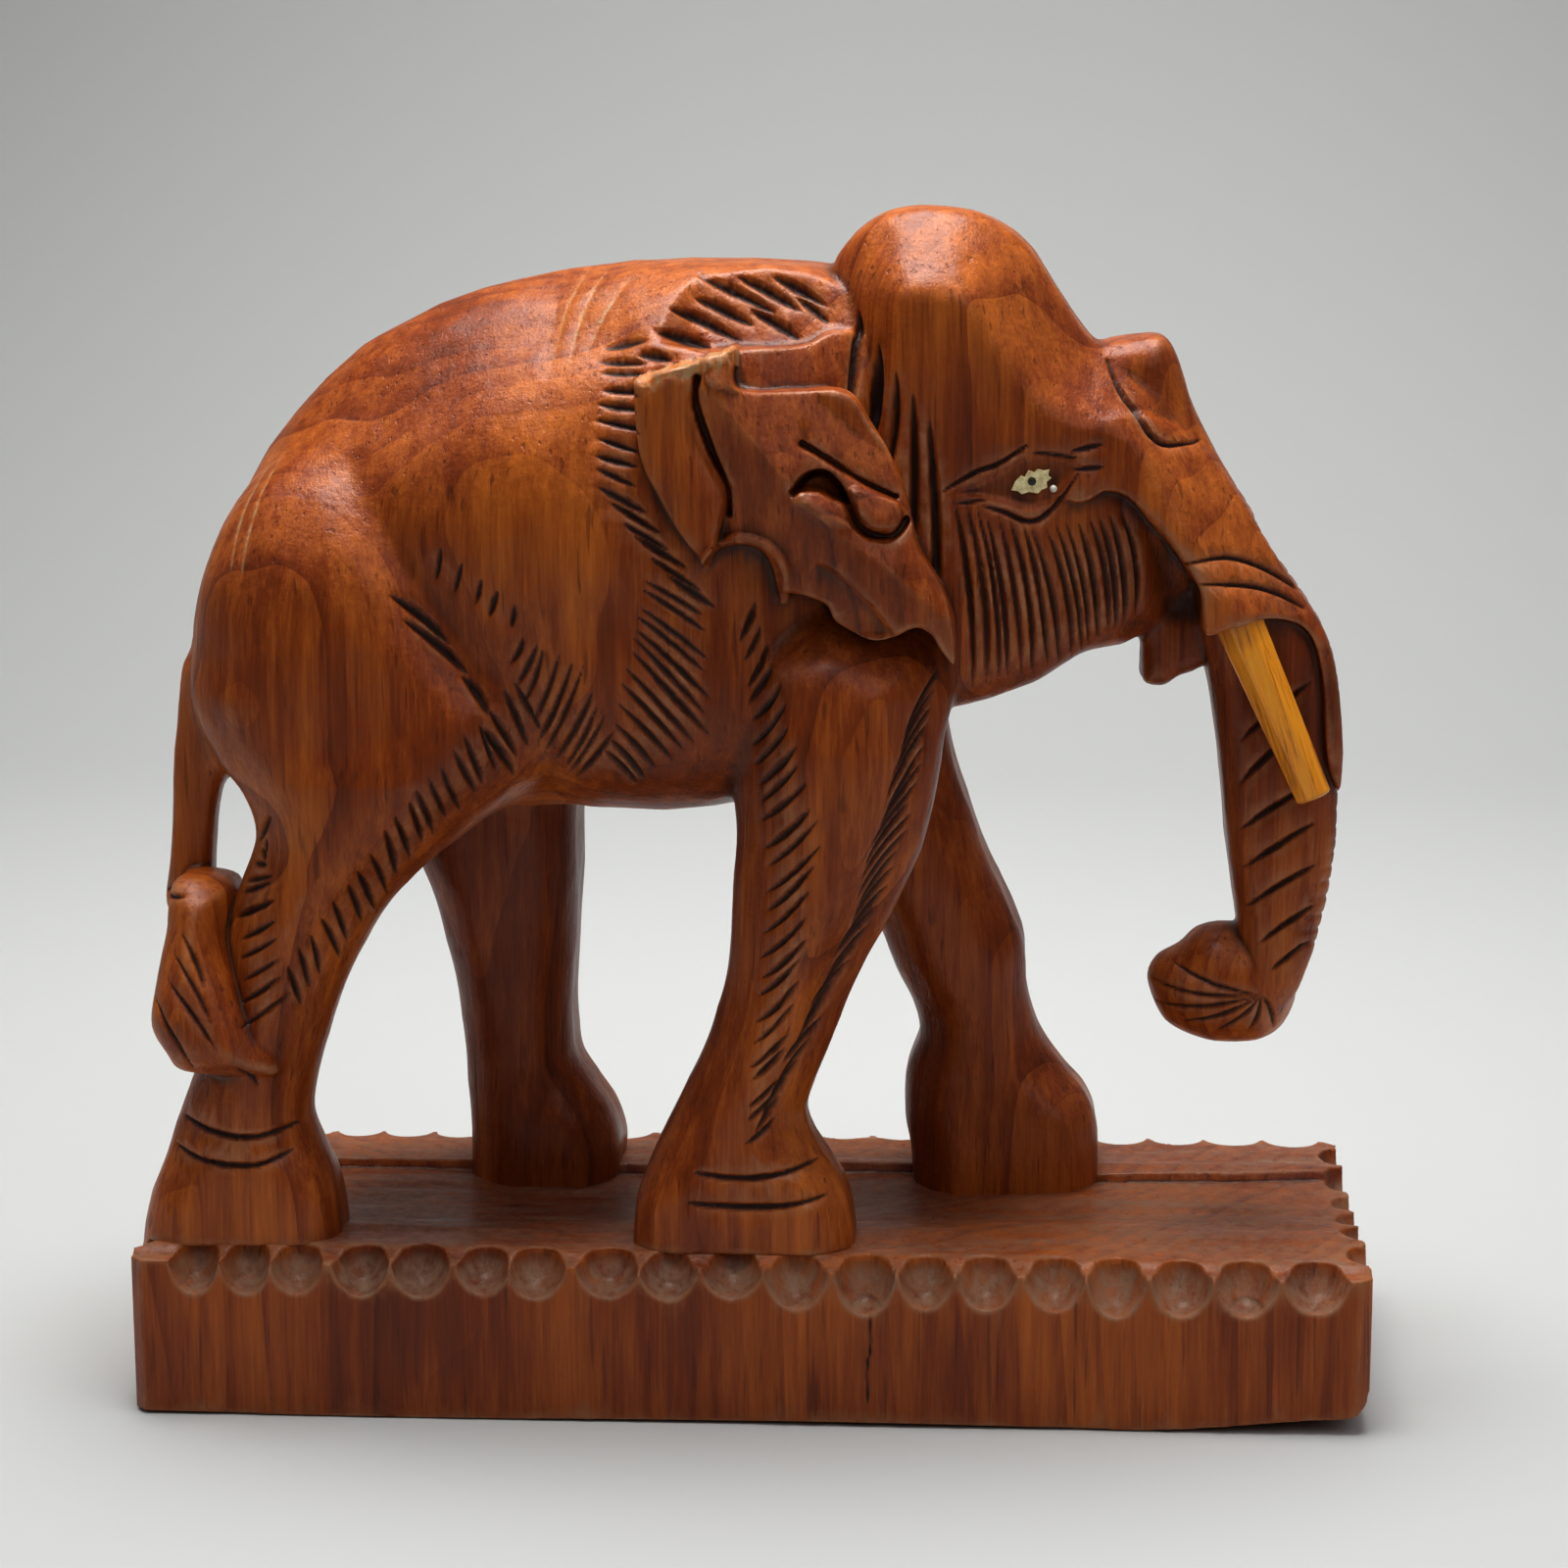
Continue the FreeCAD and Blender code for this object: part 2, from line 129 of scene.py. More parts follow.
def slab(shape):
    # a form sawn to an outline seen from the side, then planed or rounded along its edges
    outline = shape["outline"]
    xs, zs = [p[0] for p in outline], [p[1] for p in outline]
    middle = shape.get("middle", 0.0)
    most = max(value for place, value in shape["half"]) + 2
    window = windowOf((min(xs), middle - most, min(zs)), (max(xs), middle + most, max(zs)))
    x = gridX[window[0]][:, None]
    z = gridZ[window[2]][None, :]
    flat = insideDistance(x, z, outline)
    wholeX, wholeZ = np.broadcast_to(x, flat.shape), np.broadcast_to(z, flat.shape)
    half = listed(shape["half"], wholeZ if shape.get("halfAlong") == "up" else wholeX)
    if "relief" in shape:
        half = half + shape["relief"](wholeX, wholeZ)
    y = gridY[window[1]][None, :, None]
    a = flat[:, None, :]
    b = np.abs(y - middle) - half[:, None, :]
    field = softMax(a, b, shape["soft"])
    if "bevel" in shape:
        bevel = shape["bevel"]
        bevel = bevel(wholeX, wholeZ) if callable(bevel) else listed(bevel, wholeZ)
        field = softMax(field, (a + b + bevel[:, None, :]) * 0.7071, shape["soft"])
    if "roof" in shape:
        (x0, z0), (x1, z1), start, slope = shape["roof"]
        run = math.hypot(x1 - x0, z1 - z0)
        inward = ((x - x0) * (z1 - z0) - (z - z0) * (x1 - x0)) / run
        fall = (np.abs(y - middle) - start - slope * inward[:, None, :]) / math.hypot(1, slope)
        field = softMax(field, fall, shape["soft"])
    return window, field.astype(np.float32)


def ball(centre, radii):
    window = windowOf([c - r for c, r in zip(centre, radii)], [c + r for c, r in zip(centre, radii)])
    x = ((gridX[window[0]] - centre[0]) / radii[0])[:, None, None]
    y = ((gridY[window[1]] - centre[1]) / radii[1])[None, :, None]
    z = ((gridZ[window[2]] - centre[2]) / radii[2])[None, None, :]
    size = np.sqrt(x * x + y * y + z * z)
    return window, ((size - 1) * min(radii)).astype(np.float32)


def blendIn(whole, window, field, blend):
    old = whole[window]
    gap = np.maximum(blend - np.abs(old - field), 0) / blend
    whole[window] = np.minimum(old, field) - gap * gap * blend / 4


def blendOut(whole, window, field, blend):
    old = whole[window]
    cut = -field
    gap = np.maximum(blend - np.abs(old - cut), 0) / blend
    whole[window] = np.maximum(old, cut) + gap * gap * blend / 4


def flankValley(x, z):
    # the hollow that runs down between the haunch and the ribs
    away = lineDistance(x, z, [(-48.5, 115.5), (-43, 108.5), (-38, 101), (-34.5, 93)])
    return -2.6 * np.exp(-(away / 3.4) ** 2)


def barrel(x, z):
    # how far the flats between back and flank, and between flank and belly, are planed off
    over = np.interp(x, [-75, -62, -45, -24, -10, 2, 14, 28], [13, 16, 19, 20, 15, 10, 8, 7])
    return (over * np.interp(z, [80, 112], [0.62, 1.0])).astype(np.float32)


# every outline is drawn from the right side, as (along, up) in mm; half is half of its thickness there
bodyForm = {
    "outline": [(-73.2, 89), (-72.2, 96), (-69, 106), (-64.2, 116), (-58, 124.5), (-49.5, 132.2),
                (-39.5, 137.6), (-28, 141), (-14, 142.6), (0, 142.6), (12, 141.2), (22, 134), (27, 120),
                (27.5, 106), (26, 95), (21.5, 84), (13, 77.5), (0, 75.8), (-14, 74.8), (-28, 73.8),
                (-42, 73.6), (-56, 75), (-66, 78), (-71.5, 83)],
    "half": [(-75, 17), (-62, 22), (-45, 24.2), (-10, 24.4), (2, 22.8), (8, 20), (14, 17), (20, 14.5),
             (28, 11)],
    "relief": flankValley,
    "bevel": barrel,
    "soft": 6,
    "blend": 1.0,
}


def cheekHollow(x, z):
    # the cheek falls away towards the trunk below the arch of its root
    cheek = [(34, 112.5), (41, 114.2), (43.8, 115.4), (46.7, 114.6), (49.6, 111.4), (52.5, 108),
             (55.6, 103.2), (60, 99), (60, 88), (34, 84)]
    return patch(x, z, cheek, 1, 0.6) * np.interp(x, [36, 44, 52, 60], [0, -2.4, -4.8, -5])


headForm = {
    "outline": [(8.5, 126), (9.2, 139), (11.6, 145), (16.5, 148.6), (23, 149.3), (29, 148), (34, 144.6),
                (38, 139), (42, 133.2), (46, 131.6), (52, 128), (57, 120.5), (60, 112), (58, 103),
                (53, 98.5), (47, 95.6), (41, 94.4), (36, 91.6), (30, 89.4), (24, 88.2), (18, 90), (12, 98),
                (9, 112)],
    "half": [(8, 15.5), (14, 17.2), (22, 18), (28, 17.5), (35, 16.5), (42, 15.2), (50, 13.8), (58, 12)],
    "relief": cheekHollow,
    "bevel": [(88, 3), (112, 5), (124, 9), (150, 10)],
    "soft": 1.3,
    "blend": 0.9,
}
browBump = {
    "outline": [(41.8, 131), (44, 132.7), (46.4, 133.2), (49.4, 133.6), (51.2, 133.2), (52.7, 130.8),
                (54.4, 125.4), (56.1, 120.8), (59.3, 116), (62.8, 110.2), (60, 109), (56.4, 114),
                (53, 118.4), (49, 121.6), (45.8, 124.8), (43.4, 128.6)],
    "half": [(40, 7.4)],
    "bevel": 2.6,
    "soft": 1.4,
    "blend": 0.8,
}
trunkRoot = {
    "outline": [(40.5, 116), (41, 122), (46, 124.6), (51.6, 123.2), (55.6, 120.2), (59.2, 116), (63, 110),
                (65.6, 105.9), (68.8, 101.2), (71.6, 96.6), (73.2, 91), (73.8, 84), (73.7, 77), (71.9, 81),
                (71.2, 89), (70.2, 95), (68, 98), (64, 99.1), (60, 98.5), (56.2, 97.6), (55.6, 103),
                (52.6, 107.8), (49.6, 111.4), (46.7, 114.5), (43.8, 115.4)],
    "half": [(40, 14.4), (50, 14.7), (62, 14.7), (66.5, 12.6), (69.5, 9.6), (74, 8.3)],
    "roof": ((57, 121), (71, 100), 6.4, 0.92),
    "soft": 1.0,
    "blend": 0.8,
}
trunkForm = {
    "outline": [(56, 113), (61.6, 109.6), (65.4, 105), (68.6, 101), (71.4, 96.4), (73.1, 90.2),
                (73.7, 81.6), (73.7, 73), (73.2, 65.6), (72.1, 59.4), (70.7, 54), (68.7, 49), (65.3, 46),
                (61.9, 50), (61.6, 57), (60.8, 63.6), (60, 70), (59.2, 76.6), (58.4, 83), (57.4, 90),
                (55, 100), (54, 110)],
    "half": [(44, 6.2), (58, 6.8), (75, 7.4), (95, 7.8), (110, 7.8)],
    "halfAlong": "up",
    "bevel": 2.4,
    "soft": 0.9,
    "blend": 0.8,
}
curlForm = {
    "outline": [(50.2, 50.6), (51.2, 53.8), (54.2, 55.6), (56.4, 57.4), (60, 58.4), (64.8, 57.6),
                (68.6, 53), (69.2, 48.6), (67, 44.4), (62.6, 42.9), (57, 43.2), (52.4, 45.6)],
    "half": [(48, 6.2), (58, 7.6), (70, 6.6)],
    "bevel": 4.2,
    "soft": 2.2,
    "blend": 0.5,
}
lipForm = {
    "outline": [(45, 98), (48.4, 95.6), (48.8, 92.4), (49.2, 90), (51.6, 89.6), (53.6, 90.8), (56.2, 91.8),
                (57.4, 93.6), (58.4, 99), (52, 103), (46, 102)],
    "half": [(44, 5.6)],
    "bevel": 1.4,
    "soft": 0.8,
    "blend": 0.8,
}
rightHindLeg = {
    "outline": [(-68.5, 92), (-66.4, 83), (-63.2, 77.5), (-61.7, 72), (-63.6, 66.5), (-66, 60), (-67, 52),
                (-69.5, 44.5), (-72.2, 37.5), (-74.4, 31), (-76.6, 25), (-77.6, 19.5), (-77.6, 9),
                (-52, 9), (-52, 19), (-52.2, 24.4), (-53, 28.6), (-54.8, 33), (-55.6, 37), (-54.6, 42.5),
                (-52.8, 48.4), (-50.4, 54.6), (-47.6, 60), (-43.8, 65), (-38.8, 69.6), (-33.8, 73.5),
                (-29, 78), (-25.8, 83.4), (-26, 92), (-34, 101), (-46, 108), (-58, 106)],
    "middle": -15.8,
    "half": [(16, 8.9), (22, 8.8), (29, 8.8), (36, 8.6), (52, 10), (64, 11), (80, 12), (108, 8)],
    "halfAlong": "up",
    "bevel": [(16, 3), (26, 3.4), (36, 5.4), (64, 7), (90, 8)],
    "soft": 2.4,
    "blend": 3.0,
}
leftHindLeg = {
    "outline": [(-60, 92), (-54, 80), (-48.4, 69), (-44.8, 60), (-42.8, 52.4), (-41.5, 45.6),
                (-40.6, 37.6), (-40.1, 29.4), (-39.8, 19), (-39.8, 9), (-20, 9), (-20, 19), (-19.5, 24),
                (-20.8, 28.4), (-23.2, 32.4), (-25.4, 36.2), (-25.9, 42), (-25.5, 51), (-25, 62),
                (-24.8, 70), (-24, 84), (-32, 98), (-48, 102)],
    "middle": 16.8,
    "half": [(16, 10.6), (22, 10.5), (29, 9.8), (36, 8.9), (52, 10), (64, 11), (80, 11.8), (102, 8)],
    "halfAlong": "up",
    "bevel": [(16, 4), (26, 4.4), (36, 3.6), (64, 4), (90, 7)],
    "soft": 1.8,
    "blend": 3.0,
}
rightForeLeg = {
    "outline": [(-1.6, 98), (-2, 88), (-1.9, 79.4), (-1.4, 73), (-1.7, 66.6), (-2.2, 60), (-3.2, 53.4),
                (-5.2, 47), (-7.9, 40.8), (-10.4, 35.6), (-12.4, 31), (-14, 26.6), (-14.6, 19), (-14.6, 9),
                (13.4, 9), (13.4, 19), (13.2, 23), (12.4, 27.2), (10.4, 31), (8.2, 34.4), (7.1, 37.6),
                (8, 40.6), (10, 45.4), (12, 51), (14.6, 56.8), (17.6, 62.4), (20.6, 68.8), (22.9, 76),
                (24.2, 84.4), (25.4, 92), (22, 99), (10, 103)],
    "middle": -16.2,
    "half": [(16, 8.7), (22, 8.6), (28, 8.7), (35, 8.7), (48, 10), (62, 11.2), (84, 12.2), (104, 9.6)],
    "halfAlong": "up",
    "bevel": [(16, 3), (26, 3.6), (36, 5.4), (50, 7), (90, 9)],
    "soft": 1.8,
    "blend": 1.2,
}
leftForeLeg = {
    "outline": [(2, 96), (6, 80), (12, 62), (15.8, 53.4), (17.6, 48.4), (19.8, 43.8), (20.6, 39.8),
                (18.9, 34.6), (18.6, 28.8), (19.4, 24.6), (19.8, 18.6), (19.8, 9), (44.4, 9), (44.4, 18.6),
                (44.4, 26.6), (43, 31.2), (39.8, 35.2), (36.5, 39.8), (34.9, 45.4), (34.4, 51.8), (33, 56),
                (29.8, 62.6), (26.6, 71.6), (24.2, 80), (22, 92), (12, 100)],
    "middle": 17.0,
    "half": [(16, 10.4), (22, 10.3), (28, 9.7), (35, 8.9), (48, 10.4), (62, 11.4), (84, 12), (104, 9.6)],
    "halfAlong": "up",
    "bevel": [(16, 4), (26, 4), (36, 4.4), (64, 5), (90, 7)],
    "soft": 1.6,
    "blend": 2.4,
}
tailForm = {
    "outline": [(-70.4, 93), (-72.2, 89), (-73, 84), (-73.8, 76.4), (-74.4, 68.7), (-75, 61), (-69.4, 60),
                (-68.9, 65), (-68.3, 72.6), (-66.6, 79.6), (-63, 86)],
    "middle": -9.4,
    "half": [(-76, 2.8), (-66, 3.2)],
    "bevel": 1.2,
    "soft": 0.9,
    "blend": 2.5,
}
tuftForm = {
    "outline": [(-71.7, 66.5), (-72.7, 60.2), (-74.1, 53.9), (-74.6, 48.9), (-72.8, 45.1), (-71, 43.2),
                (-66, 42.4), (-60.5, 42.5), (-58.4, 44), (-61.8, 50.3), (-64.4, 56.6), (-65.2, 60.3),
                (-65.3, 66)],
    "middle": -15.5,
    "half": [(36, 12.6), (50, 12.2), (60, 10), (66, 8)],
    "halfAlong": "up",
    "bevel": 3.4,
    "soft": 1.6,
    "blend": 0.6,
}
bulges = (   # middle, half sizes and blend of the rounded masses; the right side is mirrored to the left
    ((-52, -12, 96.5), (17.5, 15.2, 22.5), 5.0),
    ((-19, -11, 108), (24, 15.4, 23), 3.5),
    ((-12, -10, 92), (20, 15.2, 16), 4.0),
)
neckHollow = {
    "outline": [(-8.6, 141.4), (0, 143.5), (10.6, 145), (17, 143), (18, 134.5), (10.6, 134.6), (7, 133.2),
                (-2, 132.8), (-7, 132.9), (-12.6, 134.8)],
    "wall": [(-13, 15), (-7, 11), (2, 9.6), (12, 9)],   # from the middle to the back of the hollow
    "rise": 0.62,
}


def lineDistance(x, z, way):
    p = curveThrough(way, closed=False, fine=5)
    best = np.full(np.broadcast(x, z).shape, 1e9, np.float32)
    for (ax, az), (bx, bz) in zip(p[:-1], p[1:]):
        dx, dz = bx - ax, bz - az
        t = np.clip(((x - ax) * dx + (z - az) * dz) / max(dx * dx + dz * dz, 1e-9), 0, 1)
        best = np.minimum(best, (x - ax - t * dx) ** 2 + (z - az - t * dz) ** 2)
    return np.sqrt(best)


def groove(x, z, way, wide, deep):
    return -deep * (1 - smoothStep(lineDistance(x, z, way), 0.15 * wide, 0.5 * wide))


def patch(x, z, outline, rise, wall):
    return rise * (1 - smoothStep(insideDistance(x, z, outline), -wall, 0))


def rim(x, z, middle, radius, rise):
    # a raised ring, of which only the upper half shows
    away = np.abs(np.hypot(x - middle[0], z - middle[1]) - radius)
    return rise * (1 - smoothStep(away, 0.2, 1.0)) * (z > middle[1] - 1.4)


# the folds of the ear in the order in which they are cut: a line with its width and depth, an outline
# with how far it stands out and the width of its wall, or a ring with its radius and height
earFolds = {
    "ridge": [(-3.4, 128.4), (-0.6, 125), (3.1, 120.6), (6.4, 116.6), (13.4, 110), (18.1, 106.7),
              (24, 101)],
    "lobe": [(-7.6, 134), (-9.8, 127.6), (-9.4, 121.5), (-6.8, 115.6), (-4.6, 111)],
    "lobeEdge": [(-14, 135), (-15, 119), (-10, 108), (-4.2, 106.5), (-1.9, 114.2), (-2.3, 117), (-3.9, 120),
                 (-5.6, 124.5), (-5.2, 134)],
    "work": [
        (groove, [(-5, 130), (-5.2, 126.6), (-3.4, 121), (-1.6, 117), (-1.4, 113.6)], 1.1, 1.7),
        (patch, [(-4.4, 134), (-4.2, 129.6), (-2.2, 128.6), (0.4, 128.4), (0.4, 134)], 0.7, 0.4),
        (groove, [(6.4, 116.4), (7.8, 118), (9.8, 118.4), (11.6, 116.9), (12.8, 114.6), (13.9, 112.3),
                  (15.8, 111), (18.3, 110.9), (19.7, 112.6)], 1.3, 1.7),
        (patch, [(6.2, 116.2), (7.6, 118.2), (9.8, 118.8), (11.8, 117.2), (13.2, 114.6), (11.2, 115.2),
                 (9.4, 116.2), (7.8, 116.4)], -3.6, 0.4),
        (patch, [(5.4, 115), (7.6, 116.2), (9.4, 116.1), (12.6, 113.6), (13.4, 111.6),
                 (9.6, 112.4)], 0.5, 1.2),
        (patch, [(12.9, 116.9), (16, 116.3), (18.6, 115.2), (19.4, 113.4), (18.6, 111.7), (16.2, 111.6),
                 (14.4, 112.8), (13.4, 114.8)], 1.1, 0.6),
        (groove, [(7.3, 122), (10.1, 120.3), (14.3, 117.5), (18.4, 115.4)], 1.0, 1.2),
        (patch, [(-4.4, 107.6), (-2.4, 109.6), (0.4, 110), (3, 108.6), (4.3, 105), (4, 102),
                 (-4, 102)], -3.6, 0.6),
        (rim, (0.2, 105.4), 5.2, 0.8),
        (patch, [(8.6, 108), (12.6, 106.6), (17.6, 101), (18.4, 98), (11, 98.6), (8.4, 102)], -0.9, 1.4),
    ],
}


def earRelief(x, z):
    # how far each part of the ear stands over its middle level
    ridge = np.array(earFolds["ridge"])
    above = (z - np.interp(x, ridge[:, 0], ridge[:, 1])) * 0.68
    plate = 1.6 - 0.5 * np.maximum(above, 0) - 0.26 * np.maximum(-above, 0)
    plate = np.maximum(plate, -2.9)
    fold = 1.7 - 0.055 * lineDistance(x, z, earFolds["lobe"]) ** 2
    share = 1 - smoothStep(insideDistance(x, z, earFolds["lobeEdge"]), -0.5, 0.1)
    level = plate * (1 - share) + np.maximum(fold, -1.2) * share
    for cut, way, first, second in earFolds["work"]:
        level = level + cut(x, z, way, first, second)
    return level.astype(np.float32)


earForm = {
    "outline": [(-12.4, 128.6), (-11.2, 129.8), (-7.6, 131.1), (-2.7, 132.6), (-0.9, 132.9), (-0.4, 128.6),
                (6, 128.2), (12.6, 127.7), (15.4, 124), (17.8, 120.2), (19.9, 114.7), (21.2, 109.2),
                (23.8, 104.8), (25.4, 99.6), (25.6, 95), (24, 96.8), (22.8, 99), (20.9, 99.9),
                (18.1, 98.5), (15.3, 98.2), (11.5, 100.4), (10.1, 102.7), (5.9, 104), (4.9, 102.6),
                (-2.6, 103.4), (-4.9, 108.2), (-7.4, 111.4), (-9.8, 115.6), (-12, 121.2)],
    "half": [(-14, 5.8), (0, 6.1), (10, 5.7), (18, 4.4), (26, 2.0)],
    "relief": earRelief,
    "soft": 0.7,
    "blend": 0.5,
    "outset": 21.2,        # from the middle of the animal to the middle of the ear's thickness
}


def hollowNeck(whole, side):
    # a slanting wall cut in below the flat of the back, down to a ledge over the ear
    outline = neckHollow["outline"]
    window = windowOf((-14, min(0, side * 31), 130), (19, max(0, side * 31), 146), 0)
    x, z = gridX[window[0]][:, None], gridZ[window[2]][None, :]
    flat = insideDistance(x, z, outline)
    wall = listed(neckHollow["wall"], np.broadcast_to(x, flat.shape)) + neckHollow["rise"] * (141 - z)
    y = gridY[window[1]][None, :, None] * side
    cut = softMax(flat[:, None, :], wall[:, None, :] - y, 0.8)
    blendOut(whole, window, cut.astype(np.float32), 0.5)


def join(whole, shape):
    window, field = slab(shape)
    blendIn(whole, window, field, shape["blend"])


def buildForm():
    whole = np.full(layGrid(sculpt["low"], sculpt["high"]), sculpt["farAway"], np.float32)
    join(whole, bodyForm)
    for centre, radii, blend in bulges:
        for side in (1, -1):
            window, field = ball((centre[0], centre[1] * side, centre[2]), radii)
            blendIn(whole, window, field, blend)
    for shape in (rightHindLeg, leftHindLeg, rightForeLeg, leftForeLeg, tailForm, tuftForm):
        join(whole, shape)
    for side in (-1, 1):
        hollowNeck(whole, side)
    for shape in (headForm, browBump, trunkRoot, trunkForm, curlForm, lipForm):
        join(whole, shape)
    for side in (-1, 1):
        join(whole, dict(earForm, middle=side * earForm["outset"]))
    # the feet end at the top of the base where they lean out over its scallops
    window = windowOf((-79, -31, 15), (79, 31, 21.4), 0)
    outside = np.abs(gridY[window[1]])[None, :, None] - sculpt["footReach"]
    below = sculpt["footLevel"] - gridZ[window[2]][None, None, :]
    whole[window] = np.maximum(whole[window], np.minimum(outside, below))
    return whole


print("cutting the block")
form = buildForm()
print("form", form.shape)


def meshOf(field):
    grid = openvdb.FloatGrid(sculpt["farAway"])
    grid.copyFromArray(np.clip(field, -4.0, 4.0), tolerance=1e-4)
    points, quads = grid.convertToQuads(0.0)
    points = points.astype(np.float64) * step + lowCorner
    return points, np.asarray(quads, np.int64)


points, quads = meshOf(form)
del form
print("surface", len(points), "points", len(quads), "faces")


def surfaceNormals(points, quads):
    a, b, c, d = (points[quads[:, k]] for k in range(4))
    face = np.cross(c - a, d - b)
    total = np.zeros_like(points)
    for k in range(4):
        for axis in range(3):
            total[:, axis] += np.bincount(quads[:, k], face[:, axis], len(points))
    return total / np.maximum(np.linalg.norm(total, axis=1, keepdims=True), 1e-12)


def scatter(cells, seed):
    # a repeatable random number from 0 to 1 for each whole-numbered cell
    n = (cells[:, 0] * 73856093) ^ (cells[:, 1] * 19349663) ^ (cells[:, 2] * 83492791) ^ (seed * 2654435)
    n = (n ^ (n >> 13)) * 1274126177 & 0x7fffffff
    n = (n ^ (n >> 16)) * 668265263 & 0x7fffffff
    return ((n ^ (n >> 15)) & 0xffff) / 65535.0


def softNoise(p, size, seed):
    q = p / np.array(size, float)
    base = np.floor(q).astype(np.int64)
    t = q - base
    t = t * t * (3 - 2 * t)
    total = np.zeros(len(p))
    for i in (0, 1):
        for j in (0, 1):
            for k in (0, 1):
                corner = scatter(base + np.array((i, j, k)), seed)
                weight = ((t[:, 0] if i else 1 - t[:, 0]) * (t[:, 1] if j else 1 - t[:, 1])
                          * (t[:, 2] if k else 1 - t[:, 2]))
                total += corner * weight
    return total * 2 - 1


def knifeFacets(p, size, seed):
    # shallow overlapping dents: 0 in the middle of a stroke of the knife, rising to its edges
    q = p / np.array(size, float)
    base = np.floor(q).astype(np.int64)
    best = np.full(len(p), 9.0)
    for i in (-1, 0, 1):
        for j in (-1, 0, 1):
            for k in (-1, 0, 1):
                cell = base + np.array((i, j, k))
                spot = np.stack([scatter(cell, seed + m) for m in range(3)], 1) * 0.8 + 0.1
                best = np.minimum(best, ((cell + spot - q) ** 2).sum(1))
    return np.minimum(best, 0.7)


class SideCuts:
    # gathers cuts seen from one side of the animal and measures them at the surface points
    def __init__(self, points, facing, side, reach):
        self.chosen = np.nonzero((facing * side > 0.12) & reach)[0]
        self.x = points[self.chosen, 0]
        self.z = points[self.chosen, 2]
        self.depth = np.zeros(len(self.chosen))
        self.dark = np.zeros(len(self.chosen))
        self.pale = np.zeros(len(self.chosen))
        self.order = np.argsort(self.x)
        self.sortedX = self.x[self.order]

    def near(self, lo, hi):
        a, b = np.searchsorted(self.sortedX, (lo[0], hi[0]))
        found = self.order[a:b]
        return found[(self.z[found] > lo[1]) & (self.z[found] < hi[1])]

    def stroke(self, start, end, wide=1.0, deep=0.5, bow=0.0, blunt=0.55, dark=1.0):
        start, end = np.array(start, float), np.array(end, float)
        along = end - start
        length = np.linalg.norm(along)
        along /= length
        reach = wide + abs(bow) + 0.3
        found = self.near(np.minimum(start, end) - reach, np.maximum(start, end) + reach)
        if not len(found):
            return
        dx, dz = self.x[found] - start[0], self.z[found] - start[1]
        u = (dx * along[0] + dz * along[1]) / length
        v = -dx * along[1] + dz * along[0] - bow * 4 * u * (1 - u)
        taper = np.clip(4 * u * (1 - u), 0, 1) ** blunt
        half = np.maximum(wide / 2 * taper, 1e-6)
        cut = np.where(taper > 0, np.clip(1 - np.abs(v) / half, 0, 1) * taper, 0)
        self.sink(found, cut, deep, dark)

    def strokes(self, ends, *shape, **more):
        for x0, z0, x1, z1 in ends:
            self.stroke((x0, z0), (x1, z1), *shape, **more)

    def sink(self, found, cut, deep, dark):
        # a cut is dark at its bottom; with dark below zero it bares pale wood
        self.depth[found] = np.maximum(self.depth[found], cut * deep)
        if dark < 0:
            self.pale[found] = np.maximum(self.pale[found], np.clip(cut * 1.5, 0, 1) * -dark)
        else:
            self.dark[found] = np.maximum(self.dark[found], np.clip(cut * 1.5 - 0.15, 0, 1) * dark)

    def path(self, way, wide=1.0, deep=0.5, dark=1.0):
        # one long cut along a curve
        p = curveThrough(way, closed=False, fine=6)
        found = self.near(p.min(0) - wide, p.max(0) + wide)
        best = np.full(len(found), 1e9)
        place = np.zeros(len(found))
        x, z = self.x[found], self.z[found]
        for i, ((ax, az), (bx, bz)) in enumerate(zip(p[:-1], p[1:])):
            dx, dz = bx - ax, bz - az
            t = np.clip(((x - ax) * dx + (z - az) * dz) / max(dx * dx + dz * dz, 1e-9), 0, 1)
            away = (x - ax - t * dx) ** 2 + (z - az - t * dz) ** 2
            closer = away < best
            best = np.where(closer, away, best)
            place = np.where(closer, (i + t) / (len(p) - 1), place)
        shape = np.clip(4 * place * (1 - place), 0, 1) ** 0.4
        cut = np.clip(1 - np.sqrt(best) / (wide / 2 * np.maximum(shape, 1e-3)), 0, 1) * shape
        self.sink(found, cut, deep, dark)

    def area(self, outline, deep, wall, dark=0.0):
        # sinks (or with a negative depth raises) everything inside an outline; its dark paints shade into
        # it
        p = np.array(outline, float)
        found = self.near(p.min(0) - wall - 1, p.max(0) + wall + 1)
        d = insideDistance(self.x[found], self.z[found], outline)
        sunk = 1 - smoothStep(d, -wall, 0)
        self.depth[found] += sunk * deep
        self.dark[found] = np.maximum(self.dark[found], sunk * dark)

    def row(self, first, last, count, wide=1.0, deep=0.5, bow=0.0, seed=1, stray=0.35, middle=None):
        # evenly spaced cuts that change from the first to the last, each a little off its place
        rng = np.random.RandomState(seed)
        guide = np.array([first, last] if middle is None else [first, middle, last], float)
        for k in range(count):
            t = (k + rng.uniform(-0.18, 0.18)) / max(count - 1, 1)
            t = min(max(t, 0), 1)
            spot = t * (len(guide) - 1)
            i = min(int(spot), len(guide) - 2)
            pair = guide[i] * (1 - (spot - i)) + guide[i + 1] * (spot - i)
            pair = pair + rng.uniform(-stray, stray, (2, 2))
            self.stroke(pair[0], pair[1], wide * rng.uniform(0.8, 1.15), deep * rng.uniform(0.8, 1.15),
                        bow * rng.uniform(0.6, 1.3))


